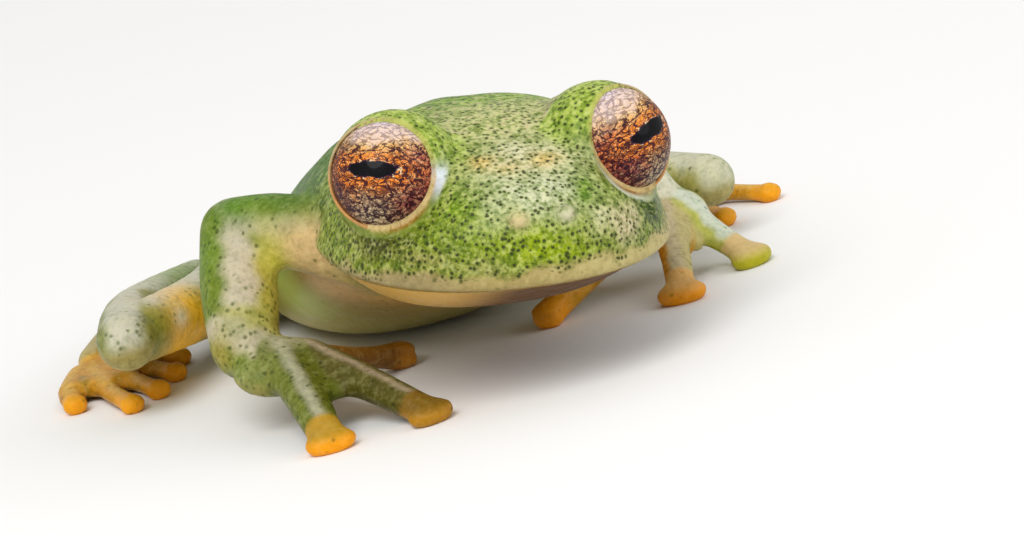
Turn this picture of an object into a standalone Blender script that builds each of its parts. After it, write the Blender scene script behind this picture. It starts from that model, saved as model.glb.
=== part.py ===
"""Glass frog at life size: a still model that sits on a flat surface.

The body is shaped whole, from lofted and tapered closed forms that are fused,
and is then parted by thin cuts where a person would name its parts.
Lengths are in millimetres until the last step, which brings them to metres.
X is across the frog (its left side is +X), it faces -Y, and Z is up.
"""
import math

import bmesh
import bpy
from mathutils import Euler, Matrix, Vector

MM = 0.001                  # metres in one millimetre
CUT = 0.2                   # width of the thin cuts between parts
VOXEL = 0.14                # grain of the fused body
SMOOTHING = 6               # passes over the fused body
BODY_TRIANGLES = 3800       # of the fused body before it is parted
SHIFT = Vector((-0.776, -0.1, 0.0)) # brings the middle of the outer box to the origin

# Head: its own frame has its origin midway between the eyes' rims
HEAD_AT = Vector((0.5, -10.0, 6.27))
HEAD_TURN = Euler((math.radians(5.1), math.radians(8.3), math.radians(-2.4)), 'YXZ')
HEAD_WIDEST = 2.5           # how far behind the eyes the head is widest
# Levels of the head from chin to crown: height, half width, front, back
HEAD_LEVELS = (
    (-4.35, 1.40, 1.20, 5.2), (-4.10, 2.70, 0.00, 5.4), (-3.70, 3.75, -1.60, 5.5),
    (-3.30, 4.40, -2.75, 5.6), (-2.90, 4.72, -3.32, 5.7), (-2.30, 4.66, -3.42, 5.8),
    (-1.60, 4.40, -3.38, 5.8), (-1.00, 4.00, -3.12, 5.8), (-0.40, 3.50, -2.30, 5.7),
    (0.15, 3.05, -1.00, 5.4), (0.52, 2.50, 0.20, 5.0), (0.76, 1.70, 1.20, 4.3),
    (0.85, 0.70, 2.20, 3.4),
)
HEAD_SIDES = 56
MOUTH_HEIGHT = -3.02
MOUTH_REACH = (-5.0, 4.2)   # of the cut between the jaws, from front to back
MOUTH_CUT_HALF_WIDTH = 5.2
NECK_CUT_AT = (0.0, 4.3, -1.45)
NECK_CUT_FACES = (0.0, 1.0, -0.18)
NECK_CUT_SIZE = (4.9, 3.65)         # half width, half height

# Eyes
EYE_RADIUS = 1.46
EYE_RIM_AT = Vector((3.49, 0.0, 0.0))      # centre of the round iris, frog's left
EYE_RIM_DEPTH = 0.61                       # from the eyeball's centre to that place
EYE_TURN_OUT = math.radians(30.0)          # from straight ahead
EYE_TURN_UP = math.radians(19.4)
SOCKET_RADIUS = EYE_RADIUS + 0.05
SOCKET_OPENING = 1.41
EYE_BULGE = 1.78
BULGE_BACK = 0.2                           # the bulge sits behind the eyeball
BULGE_IN = 0.12                            # and towards the middle of the head
EYE_ROOT = 1.0                             # how far the bulge runs back into the crown
EYE_ROOT_RADIUS = 1.69
EYE_SEGMENTS, EYE_RINGS = 20, 12

# Trunk stations: y, half width, top, bottom, sideways shift
TRUNK = (
    (-8.6, 3.2, 6.9, 3.0, 0.45), (-6.4, 4.3, 7.1, 2.2, 0.4), (-4.2, 4.65, 6.95, 1.5, 0.35),
    (-2.0, 4.55, 6.5, 0.8, 0.25), (0.0, 4.3, 5.9, 0.2, 0.15), (2.5, 3.95, 5.05, -0.15, 0.1),
    (5.0, 3.55, 4.25, -0.25, 0.0), (8.0, 3.0, 3.35, -0.2, 0.0), (10.5, 2.4, 2.65, 0.05, 0.0),
    (12.2, 1.5, 2.1, 0.4, 0.0), (13.0, 0.6, 1.7, 0.8, 0.0),
)
TRUNK_LEAN = math.radians(7.0)      # of the shoulders, with the head; none at the hips
TRUNK_UPRIGHT = 4.0                 # y at which the lean has gone
TRUNK_LEAN_LENGTH = 12.0
TRUNK_SIDES = 40
TRUNK_CUT_FACES = (0, 1, 0.1)
TRUNK_CUTS = ((1.5, 2.5, 4.6, 3.6), (7.6, 1.7, 3.03, 2.6))  # y, height, half width, half height

# Limbs: places and radii along each one, from the body outwards
ARMS = {
    'right': {
        'upper': ((-2.7, -5.6, 4.0, 1.15), (-4.5, -4.0, 4.85, 1.05), (-5.6, -2.6, 4.95, 0.98)),
        'fore': ((-5.6, -2.6, 4.95, 0.98), (-6.2, -3.8, 3.65, 1.03), (-6.65, -5.0, 2.3, 0.98)),
        'palm': ((-6.1, -6.1, 1.7), (1.35, 1.1, 0.65), 22.0),
        'shoulder': ((-4.5, -3.9, 4.5), (1, 0.12, 0), 2.3),
        'fingers': {
            '1': ((-5.7, -5.2, 1.7, 0.42), (-5.0, -3.9, 0.85, 0.38), (-4.4, -2.9, 0.28, 0.4)),
            '2': ((-5.3, -5.6, 1.75, 0.46), (-3.6, -4.4, 0.95, 0.4), (-2.1, -3.3, 0.28, 0.42)),
            '3': ((-5.3, -6.2, 1.8, 0.62), (-4.3, -8.4, 1.0, 0.57), (-3.45, -10.45, 0.28, 0.5)),
            '4': ((-6.0, -6.2, 1.85, 0.66), (-6.1, -8.4, 1.05, 0.6), (-6.2, -10.15, 0.28, 0.52)),
        },
    },
    'left': {
        'upper': ((2.9, -5.0, 3.6, 1.15), (4.8, -2.4, 3.7, 1.0), (5.8, 0.3, 3.5, 0.95)),
        'fore': ((5.8, 0.3, 3.5, 0.95), (6.3, -0.6, 2.8, 0.95), (6.7, -1.5, 2.2, 0.8)),
        'palm': ((6.9, -2.2, 1.65), (1.1, 1.1, 0.6), 25.0),
        'shoulder': ((4.95, -2.2, 3.6), (1, 0.05, 0), 3.3),
        'fingers': {
            '1': ((6.1, -1.5, 1.6, 0.42), (5.1, -1.0, 0.85, 0.38), (4.2, -0.5, 0.28, 0.4)),
            '2': ((6.1, -2.1, 1.6, 0.46), (4.2, -3.0, 0.95, 0.4), (2.3, -3.8, 0.28, 0.42)),
            '3': ((6.6, -2.6, 1.6, 0.54), (6.1, -4.3, 0.9, 0.47), (5.6, -5.75, 0.28, 0.44)),
            '4': ((7.3, -2.3, 1.6, 0.54), (7.8, -3.1, 0.9, 0.47), (8.3, -3.95, 0.28, 0.44)),
        },
    },
}
LEGS = {
    'right': {
        'thigh': ((-1.8, 10.2, 1.5, 1.3), (-4.95, 5.4, 1.62, 1.0), (-8.2, 0.7, 2.3, 0.88)),
        'shank': ((-8.8, -0.1, 2.35, 0.88), (-7.05, 6.45, 1.72, 0.72), (-3.6, 12.6, 0.85, 0.62)),
        'tarsus': ((-3.9, 12.9, 0.62, 0.55), (-6.6, 10.5, 0.5, 0.48), (-8.4, 7.4, 0.46, 0.46)),
        'toes': ((-6.3, 5.65), (-6.9, 3.8), (-7.8, 2.3), (-8.8, 1.5), (-9.95, 3.6)),
        'hip': ((-2.8, 8.4, 1.6), (-0.96, 0.27, 0), 3.8),
    },
    'left': {
        'thigh': ((1.8, 10.2, 1.5, 1.3), (5.0, 5.5, 1.62, 1.0), (8.2, 1.1, 1.82, 0.82)),
        'shank': ((8.9, 0.1, 1.8, 0.8), (7.1, 6.5, 1.66, 0.72), (3.6, 12.6, 0.85, 0.62)),
        'tarsus': ((3.9, 12.9, 0.62, 0.55), (6.6, 10.5, 0.5, 0.48), (8.4, 7.4, 0.46, 0.46)),
        'toes': ((6.3, 5.6), (6.9, 3.8), (8.1, 2.4), (9.6, 1.9), (11.5, 3.3)),
        'hip': ((2.8, 8.4, 1.6), (0.96, 0.27, 0), 3.8),
    },
}
TOE_RADIUS = 0.34
TOE_HEIGHT = 0.25
FOOT_LIFT = 0.36                    # height of the middle of the instep
DISC_SIZE = (0.78, 0.52, 0.38)      # half width, half length and half height of a finger disc
INNER_DISC_SIZE = (0.56, 0.44, 0.36)    # on the first and second finger
TOE_DISC_SIZE = (0.43, 0.4, 0.34)
WEB_THICKNESS = 0.5
WEB_LIFT = 0.14                     # clear height below the webs
FINGER_WEB_REACH = 0.5
TOE_WEB_REACH = 0.58

# Where limbs are parted, as shares of the way along a segment
THUMB_SHARE = 0.55
TOE_CUT_SHARE = 0.74
INSTEP_SHARE = 0.97
WEB_MARGIN = 0.08                   # past the end of the web

# Sizes of the cuts across limbs: half width, half height
SHOULDER_CUT_HALF_HEIGHT = 2.0
ELBOW_CUT = (2.5, 1.5)
WRIST_CUT = (1.9, 1.8)
HIP_CUT_HALF_HEIGHT = 2.4
KNEE_CUT = (4.4, 1.5)
HEEL_CUT = (2.6, 1.3)
FINGER_CUT, INSTEP_CUT, TOE_CUT = 0.7, 1.1, 0.55
# How far inside the bend the middle of the cut lies
ELBOW_CUT_IN, KNEE_CUT_IN, HEEL_CUT_IN = 1.0, 2.4, 0.9
FLOOR_BLOCK = 60.0                  # side of the block that takes off all below the floor

# Colours, roughness
SKINS = {
    'head': ('8FB23E', 0.45), 'lower_jaw': ('CDBF8A', 0.45), 'chest': ('6FA038', 0.45),
    'belly': ('6FA038', 0.45), 'rump': ('6FA038', 0.45), 'eye': ('C98A4A', 0.08),
    'upper_arm': ('8FA65C', 0.45), 'forearm': ('A9AC86', 0.45), 'hand': ('B9A878', 0.45),
    'finger': ('D79F2C', 0.4), 'thigh': ('8FA06A', 0.45), 'shank': ('A8A784', 0.45),
    'tarsus': ('B5B09A', 0.45), 'foot': ('C9A24A', 0.45), 'toe': ('E8A21E', 0.4),
}


def smooth_keys(keys, steps):
    """Points of a smooth curve through keys, each a tuple of numbers."""
    points = []
    last = len(keys) - 1
    for i in range(last):
        before = keys[max(i - 1, 0)]
        after = keys[min(i + 2, last)]
        for step in range(steps):
            t = step / steps
            points.append(tuple(
                0.5 * (2 * b + (c - a) * t + (2 * a - 5 * b + 4 * c - d) * t * t
                       + (3 * b - a - 3 * c + d) * t ** 3)
                for a, b, c, d in zip(before, keys[i], keys[i + 1], after)))
    points.append(tuple(keys[-1]))
    return points


def add_rings(bm, rings):
    """Closed surface through rings of points, each end drawn to a fan."""
    loops = [[bm.verts.new(p) for p in ring] for ring in rings]
    count = len(loops[0])
    for near, far in zip(loops, loops[1:]):
        for i in range(count):
            j = (i + 1) % count
            bm.faces.new((near[i], near[j], far[j], far[i]))
    for loop, flip in ((loops[0], True), (loops[-1], False)):
        middle = bm.verts.new(sum((v.co for v in loop), Vector()) / count)
        for i in range(count):
            j = (i + 1) % count
            corners = (loop[j], loop[i], middle) if flip else (loop[i], loop[j], middle)
            bm.faces.new(corners)


def add_tube(bm, keys, sides=14, steps=5, squash=1.0):
    """Tapered round limb with domed ends through (x, y, z, radius) keys."""
    path = smooth_keys(keys, steps)
    places = [Vector(p[:3]) for p in path]
    radii = [p[3] for p in path]
    first = (places[0] - places[1]).normalized()
    final = (places[-1] - places[-2]).normalized()
    stations = [(places[0] + first * radii[0] * math.sin(a), radii[0] * math.cos(a), -first)
                for a in (1.45, 1.0, 0.5)]
    for i, place in enumerate(places):
        along = places[min(i + 1, len(places) - 1)] - places[max(i - 1, 0)]
        stations.append((place, radii[i], along.normalized()))
    stations += [(places[-1] + final * radii[-1] * math.sin(a), radii[-1] * math.cos(a), final)
                 for a in (0.5, 1.0, 1.45)]
    across = stations[0][2].cross(Vector((0, 0, 1)))
    if across.length < 0.3:
        across = stations[0][2].cross(Vector((0, 1, 0)))
    rings = []
    for place, radius, along in stations:
        across = (across - along * across.dot(along)).normalized()
        over = across.cross(along)
        rings.append([place + across * radius * math.cos(2 * math.pi * k / sides)
                      + over * radius * squash * math.sin(2 * math.pi * k / sides)
                      for k in range(sides)])
    add_rings(bm, rings)


def add_ball(bm, place, size, turn=0.0, slope=0.0):
    """Ellipsoid with half sizes size, turned about the vertical and sloped down in front."""
    turned = Matrix.Rotation(turn, 4, 'Z') @ Matrix.Rotation(slope, 4, 'X')
    matrix = Matrix.Translation(place) @ turned @ Matrix.Diagonal((*size, 1.0))
    bmesh.ops.create_icosphere(bm, subdivisions=3, radius=1.0, matrix=matrix)


def side_power(value, power):
    """Signed power, for rounded-square outlines."""
    return math.copysign(abs(value) ** power, value)


def head_matrix():
    """Places the head's own frame on the body."""
    return Matrix.Translation(HEAD_AT) @ HEAD_TURN.to_matrix().to_4x4()


def add_head(bm):
    """Head as a stack of level outlines, round in front and full behind."""
    place = head_matrix()
    rings = []
    for height, wide, front, back in smooth_keys(HEAD_LEVELS, 3):
        ring = []
        for k in range(HEAD_SIDES):
            a = 2 * math.pi * k / HEAD_SIDES
            reach = back - HEAD_WIDEST if math.sin(a) > 0 else HEAD_WIDEST - front
            across = wide * side_power(math.cos(a), 0.9)
            along = HEAD_WIDEST + reach * side_power(math.sin(a), 0.92)
            ring.append(place @ Vector((across, along, height)))
        rings.append(ring)
    add_rings(bm, rings)


def add_trunk(bm):
    """Trunk as a row of upright sections that lean with the head in front."""
    rings = []
    for y, wide, top, bottom, shift in smooth_keys(TRUNK, 4):
        middle = bottom + 0.45 * (top - bottom)
        lean = TRUNK_LEAN * min(max((TRUNK_UPRIGHT - y) / TRUNK_LEAN_LENGTH, 0.0), 1.0)
        turn = Matrix.Rotation(lean, 3, 'Y')
        ring = []
        for k in range(TRUNK_SIDES):
            a = 2 * math.pi * k / TRUNK_SIDES
            rise = (top - middle) if math.sin(a) > 0 else (middle - bottom)
            across = wide * side_power(math.cos(a), 0.88)
            point = Vector((across, 0.0, rise * side_power(math.sin(a), 0.9)))
            ring.append(turn @ point + Vector((shift, y, middle)))
        rings.append(ring)
    rings.reverse()
    add_rings(bm, rings)


def eye_axis(side):
    """Direction in which the eye on side (-1 right, 1 left) looks, in the head's frame."""
    return Vector((side * math.sin(EYE_TURN_OUT) * math.cos(EYE_TURN_UP),
                   -math.cos(EYE_TURN_OUT) * math.cos(EYE_TURN_UP), math.sin(EYE_TURN_UP)))


def eye_centre(side):
    """Centre of the eyeball in the head's frame."""
    rim = Vector((side * EYE_RIM_AT.x, EYE_RIM_AT.y, EYE_RIM_AT.z))
    return rim - eye_axis(side) * EYE_RIM_DEPTH


def web_prism(bm, first, second, reach):
    """Skin between two digits, from their roots to a share of their length."""
    steps = 6
    half = WEB_THICKNESS / 2
    rows = []
    for i in range(steps + 1):
        t = reach * i / steps
        row = []
        for keys in (first, second):
            path = smooth_keys(keys, 12)
            x, y, z, radius = path[min(int(t * (len(path) - 1)), len(path) - 1)]
            row.append(Vector((x, y, max(z, half + WEB_LIFT))))
        rows.append(row)
    rings = []
    for near, far in rows:
        up = Vector((0, 0, half))
        rings.append([near - up, far - up, far + up, near + up])
    volume_sign = (rings[1][0] - rings[0][0]).cross(rings[0][1] - rings[0][0]).z
    if volume_sign < 0:
        rings.reverse()
    add_rings(bm, rings)


def add_digit(bm, keys, disc):
    """Finger or toe with the broad disc at its tip."""
    add_tube(bm, keys, sides=12, squash=0.8)
    tip = Vector(keys[-1][:3])
    way = tip - Vector(keys[-2][:3])
    add_ball(bm, tip + way.normalized() * 0.1, disc, math.atan2(way.y, way.x) - math.pi / 2)


def toe_keys(leg, index):
    """Path of one hind toe, from the end of the tarsus to its tip."""
    root = leg['tarsus'][-1]
    tip = leg['toes'][index]
    spread = (index - 2) * 0.28 * (1 if root[0] < 0 else -1)
    base = (root[0] - spread, root[1] - 0.6, FOOT_LIFT, 0.38)
    middle = (0.55 * tip[0] + 0.45 * base[0] - spread / 2, 0.55 * tip[1] + 0.45 * base[1],
              TOE_HEIGHT + 0.06, TOE_RADIUS)
    return (base, middle, (tip[0], tip[1], TOE_HEIGHT, TOE_RADIUS))


def add_hand(bm, arm):
    """Palm, four fingers and the web between the outer two."""
    place, size, slope = arm['palm']
    add_ball(bm, Vector(place), size, slope=math.radians(slope))
    for number, keys in arm['fingers'].items():
        add_digit(bm, keys, DISC_SIZE if number in '34' else INNER_DISC_SIZE)
    web_prism(bm, arm['fingers']['3'], arm['fingers']['4'], FINGER_WEB_REACH)


def add_foot(bm, leg):
    """Tarsus, five toes and the web between them."""
    add_tube(bm, leg['tarsus'])
    paths = [toe_keys(leg, index) for index in range(5)]
    for keys in paths:
        add_digit(bm, keys, TOE_DISC_SIZE)
    for first, second in zip(paths, paths[1:]):
        web_prism(bm, first, second, TOE_WEB_REACH)


def new_object(name, bm):
    """Object from a bmesh, which is used up."""
    bmesh.ops.recalc_face_normals(bm, faces=bm.faces)
    mesh = bpy.data.meshes.new(name)
    bm.to_mesh(mesh)
    bm.free()
    obj = bpy.data.objects.new(name, mesh)
    bpy.context.scene.collection.objects.link(obj)
    return obj


def apply_modifiers(obj):
    """Replaces the mesh by what its modifiers make of it."""
    graph = bpy.context.evaluated_depsgraph_get()
    graph.update()
    mesh = bpy.data.meshes.new_from_object(obj.evaluated_get(graph))
    obj.modifiers.clear()
    obj.data = mesh


def fuse(obj, triangles):
    """One smooth closed skin around all the closed forms in the object."""
    remesh = obj.modifiers.new('fuse', 'REMESH')
    remesh.mode = 'VOXEL'
    remesh.voxel_size = VOXEL
    smooth = obj.modifiers.new('smooth', 'SMOOTH')
    smooth.factor = 0.5
    smooth.iterations = SMOOTHING
    apply_modifiers(obj)
    corners = sum(len(face.vertices) - 2 for face in obj.data.polygons)
    thin = obj.modifiers.new('thin', 'DECIMATE')
    thin.ratio = triangles / corners
    apply_modifiers(obj)


def cut_away(obj, cutter):
    """Takes the cutter's volume out of the object and removes the cutter."""
    cutter.hide_render = True
    cutter.display_type = 'WIRE'
    boolean = obj.modifiers.new('cut', 'BOOLEAN')
    boolean.operation = 'DIFFERENCE'
    boolean.solver = 'EXACT'
    boolean.object = cutter
    apply_modifiers(obj)
    bpy.data.objects.remove(cutter)


def cut_slab(obj, centre, normal, wide, high, across=None):
    """Thin rectangular cut through centre, square to normal."""
    normal = Vector(normal).normalized()
    if across is None:
        across = normal.cross(Vector((0, 0, 1)))
        if across.length < 0.3:
            across = normal.cross(Vector((0, 1, 0)))
    across = across.normalized()
    up = across.cross(normal)
    turn = Matrix((across, up, normal)).transposed().to_4x4()
    size = Matrix.Diagonal((2 * wide, 2 * high, CUT, 1.0))
    matrix = Matrix.Translation(Vector(centre)) @ turn @ size
    bm = bmesh.new()
    bmesh.ops.create_cube(bm, size=1.0, matrix=matrix)
    cut_away(obj, new_object('slab', bm))


def place_of(key):
    """The place in a limb's key, without its radius."""
    return Vector(key[:3])


def cut_along(obj, keys, share, wide):
    """Cut square through a limb, a share of the way along its path."""
    path = smooth_keys(keys, 20)
    at = min(int(share * (len(path) - 1)), len(path) - 2)
    cut_slab(obj, path[at][:3], place_of(path[at + 1]) - place_of(path[at]), wide, wide)


def cut_head(obj):
    """Parts the head from the trunk and the lower jaw from the head."""
    place = head_matrix()
    turn = place.to_3x3()
    across = turn @ Vector((1, 0, 0))
    cut_slab(obj, place @ Vector(NECK_CUT_AT), turn @ Vector(NECK_CUT_FACES), *NECK_CUT_SIZE, across)
    front, back = MOUTH_REACH
    cut_slab(obj, place @ Vector((0, (front + back) / 2, MOUTH_HEIGHT)), turn @ Vector((0, 0, 1)),
             MOUTH_CUT_HALF_WIDTH, (back - front) / 2, across)


def cut_arm(obj, arm):
    """Parts one arm at shoulder, elbow, wrist and fingers."""
    upper, fore = arm['upper'], arm['fore']
    place, normal, reach = arm['shoulder']
    cut_slab(obj, place, normal, reach, SHOULDER_CUT_HALF_HEIGHT)
    inward = (place_of(upper[1]) - place_of(upper[2])).normalized()
    downward = (place_of(fore[1]) - place_of(fore[0])).normalized()
    along = (inward + downward).normalized()
    cut_slab(obj, place_of(fore[0]) + along * ELBOW_CUT_IN, downward - inward, *ELBOW_CUT, along)
    cut_slab(obj, fore[2][:3], place_of(fore[2]) - place_of(fore[1]), *WRIST_CUT)
    for number, keys in arm['fingers'].items():
        share = FINGER_WEB_REACH + WEB_MARGIN if number in '34' else THUMB_SHARE
        cut_along(obj, keys, share, FINGER_CUT)


def cut_bend(obj, first, second, inset, size):
    """Parts two folded segments in the plane that halves the bend between them."""
    corner = (place_of(first[-1]) + place_of(second[0])) / 2
    inner = (place_of(first[1]) - corner).normalized()
    outer = (place_of(second[1]) - corner).normalized()
    along = (inner + outer).normalized()
    cut_slab(obj, corner + along * inset, inner - outer, *size, along)


def cut_leg(obj, leg):
    """Parts one hind leg at hip, knee, heel, instep and toes."""
    thigh, shank, tarsus = leg['thigh'], leg['shank'], leg['tarsus']
    place, normal, reach = leg['hip']
    cut_slab(obj, place, normal, reach, HIP_CUT_HALF_HEIGHT)
    cut_bend(obj, thigh, shank, KNEE_CUT_IN, KNEE_CUT)
    cut_bend(obj, shank, tarsus, HEEL_CUT_IN, HEEL_CUT)
    cut_along(obj, tarsus, INSTEP_SHARE, INSTEP_CUT)
    for index in range(5):
        cut_along(obj, toe_keys(leg, index), TOE_CUT_SHARE, TOE_CUT)


def socket_cutter(side):
    """Round hollow for the eyeball, open in front where the lids end."""
    depth = math.sqrt(SOCKET_RADIUS ** 2 - SOCKET_OPENING ** 2)
    start = math.asin(depth / SOCKET_RADIUS)
    profile = []
    steps = 9
    for i in range(1, steps + 1):
        a = -math.pi / 2 + (start + math.pi / 2) * i / steps
        profile.append((SOCKET_RADIUS * math.cos(a), SOCKET_RADIUS * math.sin(a)))
    profile.append((SOCKET_OPENING, 3.0))
    aim = eye_axis(side).to_track_quat('Z', 'Y').to_matrix().to_4x4()
    place = head_matrix() @ Matrix.Translation(eye_centre(side)) @ aim
    rings = [[place @ Vector((r * math.cos(2 * math.pi * k / 28), r * math.sin(2 * math.pi * k / 28), z))
              for k in range(28)] for r, z in profile]
    bm = bmesh.new()
    add_rings(bm, rings)
    return new_object('socket', bm)


def middle_of(*keys):
    """Mean place of several keys."""
    return sum((place_of(key) for key in keys), Vector()) / len(keys)


def part_places():
    """Name and rough middle of every part of the flesh."""
    head = head_matrix()
    places = {
        'head': head @ Vector((0, 0.8, -1.3)), 'lower_jaw': head @ Vector((0, 0.8, -3.6)),
        'chest': Vector((0.3, -2.5, 3.6)), 'belly': Vector((0, 4.5, 2.2)), 'rump': Vector((0, 9.6, 1.5)),
    }
    for side, arm in ARMS.items():
        places['upper_arm_' + side] = middle_of(arm['upper'][1], arm['upper'][2])
        places['forearm_' + side] = middle_of(*arm['fore'])
        places['hand_' + side] = Vector(arm['palm'][0])
        for number, keys in arm['fingers'].items():
            places['finger_%s_%s' % (number, side)] = middle_of(keys[1], keys[2], keys[2])
    for side, leg in LEGS.items():
        places['thigh_' + side] = middle_of(leg['thigh'][1], leg['thigh'][2])
        places['shank_' + side] = middle_of(*leg['shank'])
        places['tarsus_' + side] = middle_of(*leg['tarsus'])
        paths = [toe_keys(leg, index) for index in range(5)]
        places['foot_' + side] = middle_of(paths[2][0], paths[2][1])
        for index, keys in enumerate(paths):
            places['toe_%d_%s' % (index + 1, side)] = place_of(keys[2])
    return places


def loose_pieces(obj):
    """The separate closed pieces of a mesh, each as lists of its points and faces."""
    mesh = obj.data
    group = list(range(len(mesh.vertices)))

    def top(i):
        while group[i] != i:
            group[i] = group[group[i]]
            i = group[i]
        return i

    for edge in mesh.edges:
        a, b = (top(i) for i in edge.vertices)
        group[a] = b
    pieces = {}
    for face in mesh.polygons:
        pieces.setdefault(top(face.vertices[0]), []).append(list(face.vertices))
    result = []
    for faces in pieces.values():
        used = sorted({i for face in faces for i in face})
        number = {old: new for new, old in enumerate(used)}
        result.append(([mesh.vertices[i].co.copy() for i in used],
                       [[number[i] for i in face] for face in faces]))
    return result


def name_pieces(pieces):
    """Gives every piece the name of the nearest rough place, nearest pairs first."""
    pairs = []
    for name, place in part_places().items():
        for number, (points, faces) in enumerate(pieces):
            low = Vector([min(p[i] for p in points) for i in range(3)])
            high = Vector([max(p[i] for p in points) for i in range(3)])
            pairs.append((((low + high) / 2 - place).length, name, number))
    named, taken = {}, set()
    for distance, name, number in sorted(pairs):
        if name not in named and number not in taken:
            named[name] = number
            taken.add(number)
    return named


def skin_material(name):
    """Plain glossy skin in the part's own main colour."""
    kind = name if name in SKINS else max((key for key in SKINS if name.startswith(key)), key=len)
    code, roughness = SKINS[kind]
    colour = [(int(code[i:i + 2], 16) / 255) ** 2.2 for i in (0, 2, 4)]
    material = bpy.data.materials.new(kind + '_skin')
    material.use_nodes = True
    shader = material.node_tree.nodes['Principled BSDF']
    shader.inputs['Base Color'].default_value = (*colour, 1.0)
    shader.inputs['Roughness'].default_value = roughness
    shader.inputs['Metallic'].default_value = 0.0
    return material


def finish(obj, name):
    """Names the part, gives it its material and brings it to metres."""
    obj.name = name
    obj.data.name = name
    obj.data.transform(Matrix.Scale(MM, 4) @ Matrix.Translation(SHIFT))
    obj.data.materials.clear()
    obj.data.materials.append(skin_material(name))


def build_body():
    """The frog's flesh in one closed skin, flat where it meets the floor."""
    flesh = bmesh.new()
    add_head(flesh)
    add_trunk(flesh)
    place = head_matrix()
    for side in (-1, 1):
        axis = eye_axis(side)
        middle = eye_centre(side) - axis * BULGE_BACK - Vector((side * BULGE_IN, 0, 0))
        add_ball(flesh, place @ middle, (EYE_BULGE,) * 3)
        add_ball(flesh, place @ (middle - axis * EYE_ROOT), (EYE_ROOT_RADIUS,) * 3)
    for arm in ARMS.values():
        add_tube(flesh, arm['upper'])
        add_tube(flesh, arm['fore'])
        add_hand(flesh, arm)
    for leg in LEGS.values():
        add_tube(flesh, leg['thigh'])
        add_tube(flesh, leg['shank'])
        add_foot(flesh, leg)
    body = new_object('body', flesh)
    fuse(body, BODY_TRIANGLES)
    below = bmesh.new()
    bmesh.ops.create_cube(below, size=FLOOR_BLOCK, matrix=Matrix.Translation((0, 0, -FLOOR_BLOCK / 2)))
    cut_away(body, new_object('below', below))
    return body


def part_body(body):
    """Cuts the body where its parts meet."""
    for side in (-1, 1):
        cut_away(body, socket_cutter(side))
    cut_head(body)
    for y, height, wide, high in TRUNK_CUTS:
        cut_slab(body, (0, y, height), TRUNK_CUT_FACES, wide, high)
    for arm in ARMS.values():
        cut_arm(body, arm)
    for leg in LEGS.values():
        cut_leg(body, leg)


def build_eyes():
    """Both eyeballs, in their sockets."""
    for side, label in ((-1, 'right'), (1, 'left')):
        ball = bmesh.new()
        aim = eye_axis(side).to_track_quat('Z', 'Y').to_matrix().to_4x4()
        place = head_matrix() @ Matrix.Translation(eye_centre(side)) @ aim
        bmesh.ops.create_uvsphere(ball, u_segments=EYE_SEGMENTS, v_segments=EYE_RINGS,
                                  radius=EYE_RADIUS, matrix=place)
        finish(new_object('eye_' + label, ball), 'eye_' + label)


def build():
    """Builds every part of the frog."""
    body = build_body()
    part_body(body)
    pieces = loose_pieces(body)
    named = name_pieces(pieces)
    expected = len(part_places())
    if len(named) != len(pieces) or len(named) != expected:
        raise RuntimeError('the cuts left %d pieces for %d parts' % (len(pieces), expected))
    for name, number in named.items():
        points, faces = pieces[number]
        mesh = bpy.data.meshes.new(name)
        mesh.from_pydata(points, [], faces)
        obj = bpy.data.objects.new(name, mesh)
        bpy.context.scene.collection.objects.link(obj)
        finish(obj, name)
    bpy.data.objects.remove(body)
    build_eyes()


for old in list(bpy.data.objects):
    bpy.data.objects.remove(old)
build()
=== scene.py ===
import math

import bmesh
import bpy
import numpy as np
from mathutils import Euler, Matrix, Vector, noise


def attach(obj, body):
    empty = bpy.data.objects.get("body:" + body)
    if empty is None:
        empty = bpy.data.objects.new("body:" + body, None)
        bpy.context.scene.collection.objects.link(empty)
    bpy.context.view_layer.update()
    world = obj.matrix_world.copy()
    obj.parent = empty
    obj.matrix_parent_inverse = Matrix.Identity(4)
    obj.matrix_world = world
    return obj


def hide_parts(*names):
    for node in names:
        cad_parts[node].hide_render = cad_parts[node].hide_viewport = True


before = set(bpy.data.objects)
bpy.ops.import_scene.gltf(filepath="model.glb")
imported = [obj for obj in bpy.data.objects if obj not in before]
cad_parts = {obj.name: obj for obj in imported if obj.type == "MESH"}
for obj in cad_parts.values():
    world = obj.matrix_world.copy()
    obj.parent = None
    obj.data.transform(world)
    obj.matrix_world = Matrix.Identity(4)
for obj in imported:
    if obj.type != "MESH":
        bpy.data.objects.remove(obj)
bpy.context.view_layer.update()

MM = 0.001
SHIFT = Vector((-0.776, -0.1, 0.0))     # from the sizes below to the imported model
TO_MODEL = Matrix.Scale(MM, 4) @ Matrix.Translation(SHIFT)

# Grain and smoothing of the two passes that fuse the skin
BODY_GRAIN, BODY_SMOOTHING = 0.14, 6
SKIN_GRAIN, SKIN_SMOOTHING = 0.085, 3

# Head: its own frame has its origin midway between the eyes' rims
HEAD_AT = Vector((0.5, -10.0, 6.27))
HEAD_TURN = Euler((math.radians(5.1), math.radians(8.3), math.radians(-2.4)), 'YXZ')
HEAD_WIDEST = 2.5
HEAD_SIDES = 56
# Levels of the head from chin to crown: height, half width, front, back
HEAD_LEVELS = (
    (-4.35, 1.40, 1.20, 5.2), (-4.10, 2.70, 0.00, 5.4), (-3.70, 3.75, -1.60, 5.5),
    (-3.30, 4.40, -2.75, 5.6), (-2.90, 4.72, -3.32, 5.7), (-2.30, 4.66, -3.42, 5.8),
    (-1.60, 4.40, -3.38, 5.8), (-1.00, 4.00, -3.12, 5.8), (-0.40, 3.50, -2.30, 5.7),
    (0.15, 3.05, -1.00, 5.4), (0.52, 2.50, 0.20, 5.0), (0.76, 1.70, 1.20, 4.3),
    (0.85, 0.70, 2.20, 3.4),
)
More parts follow.
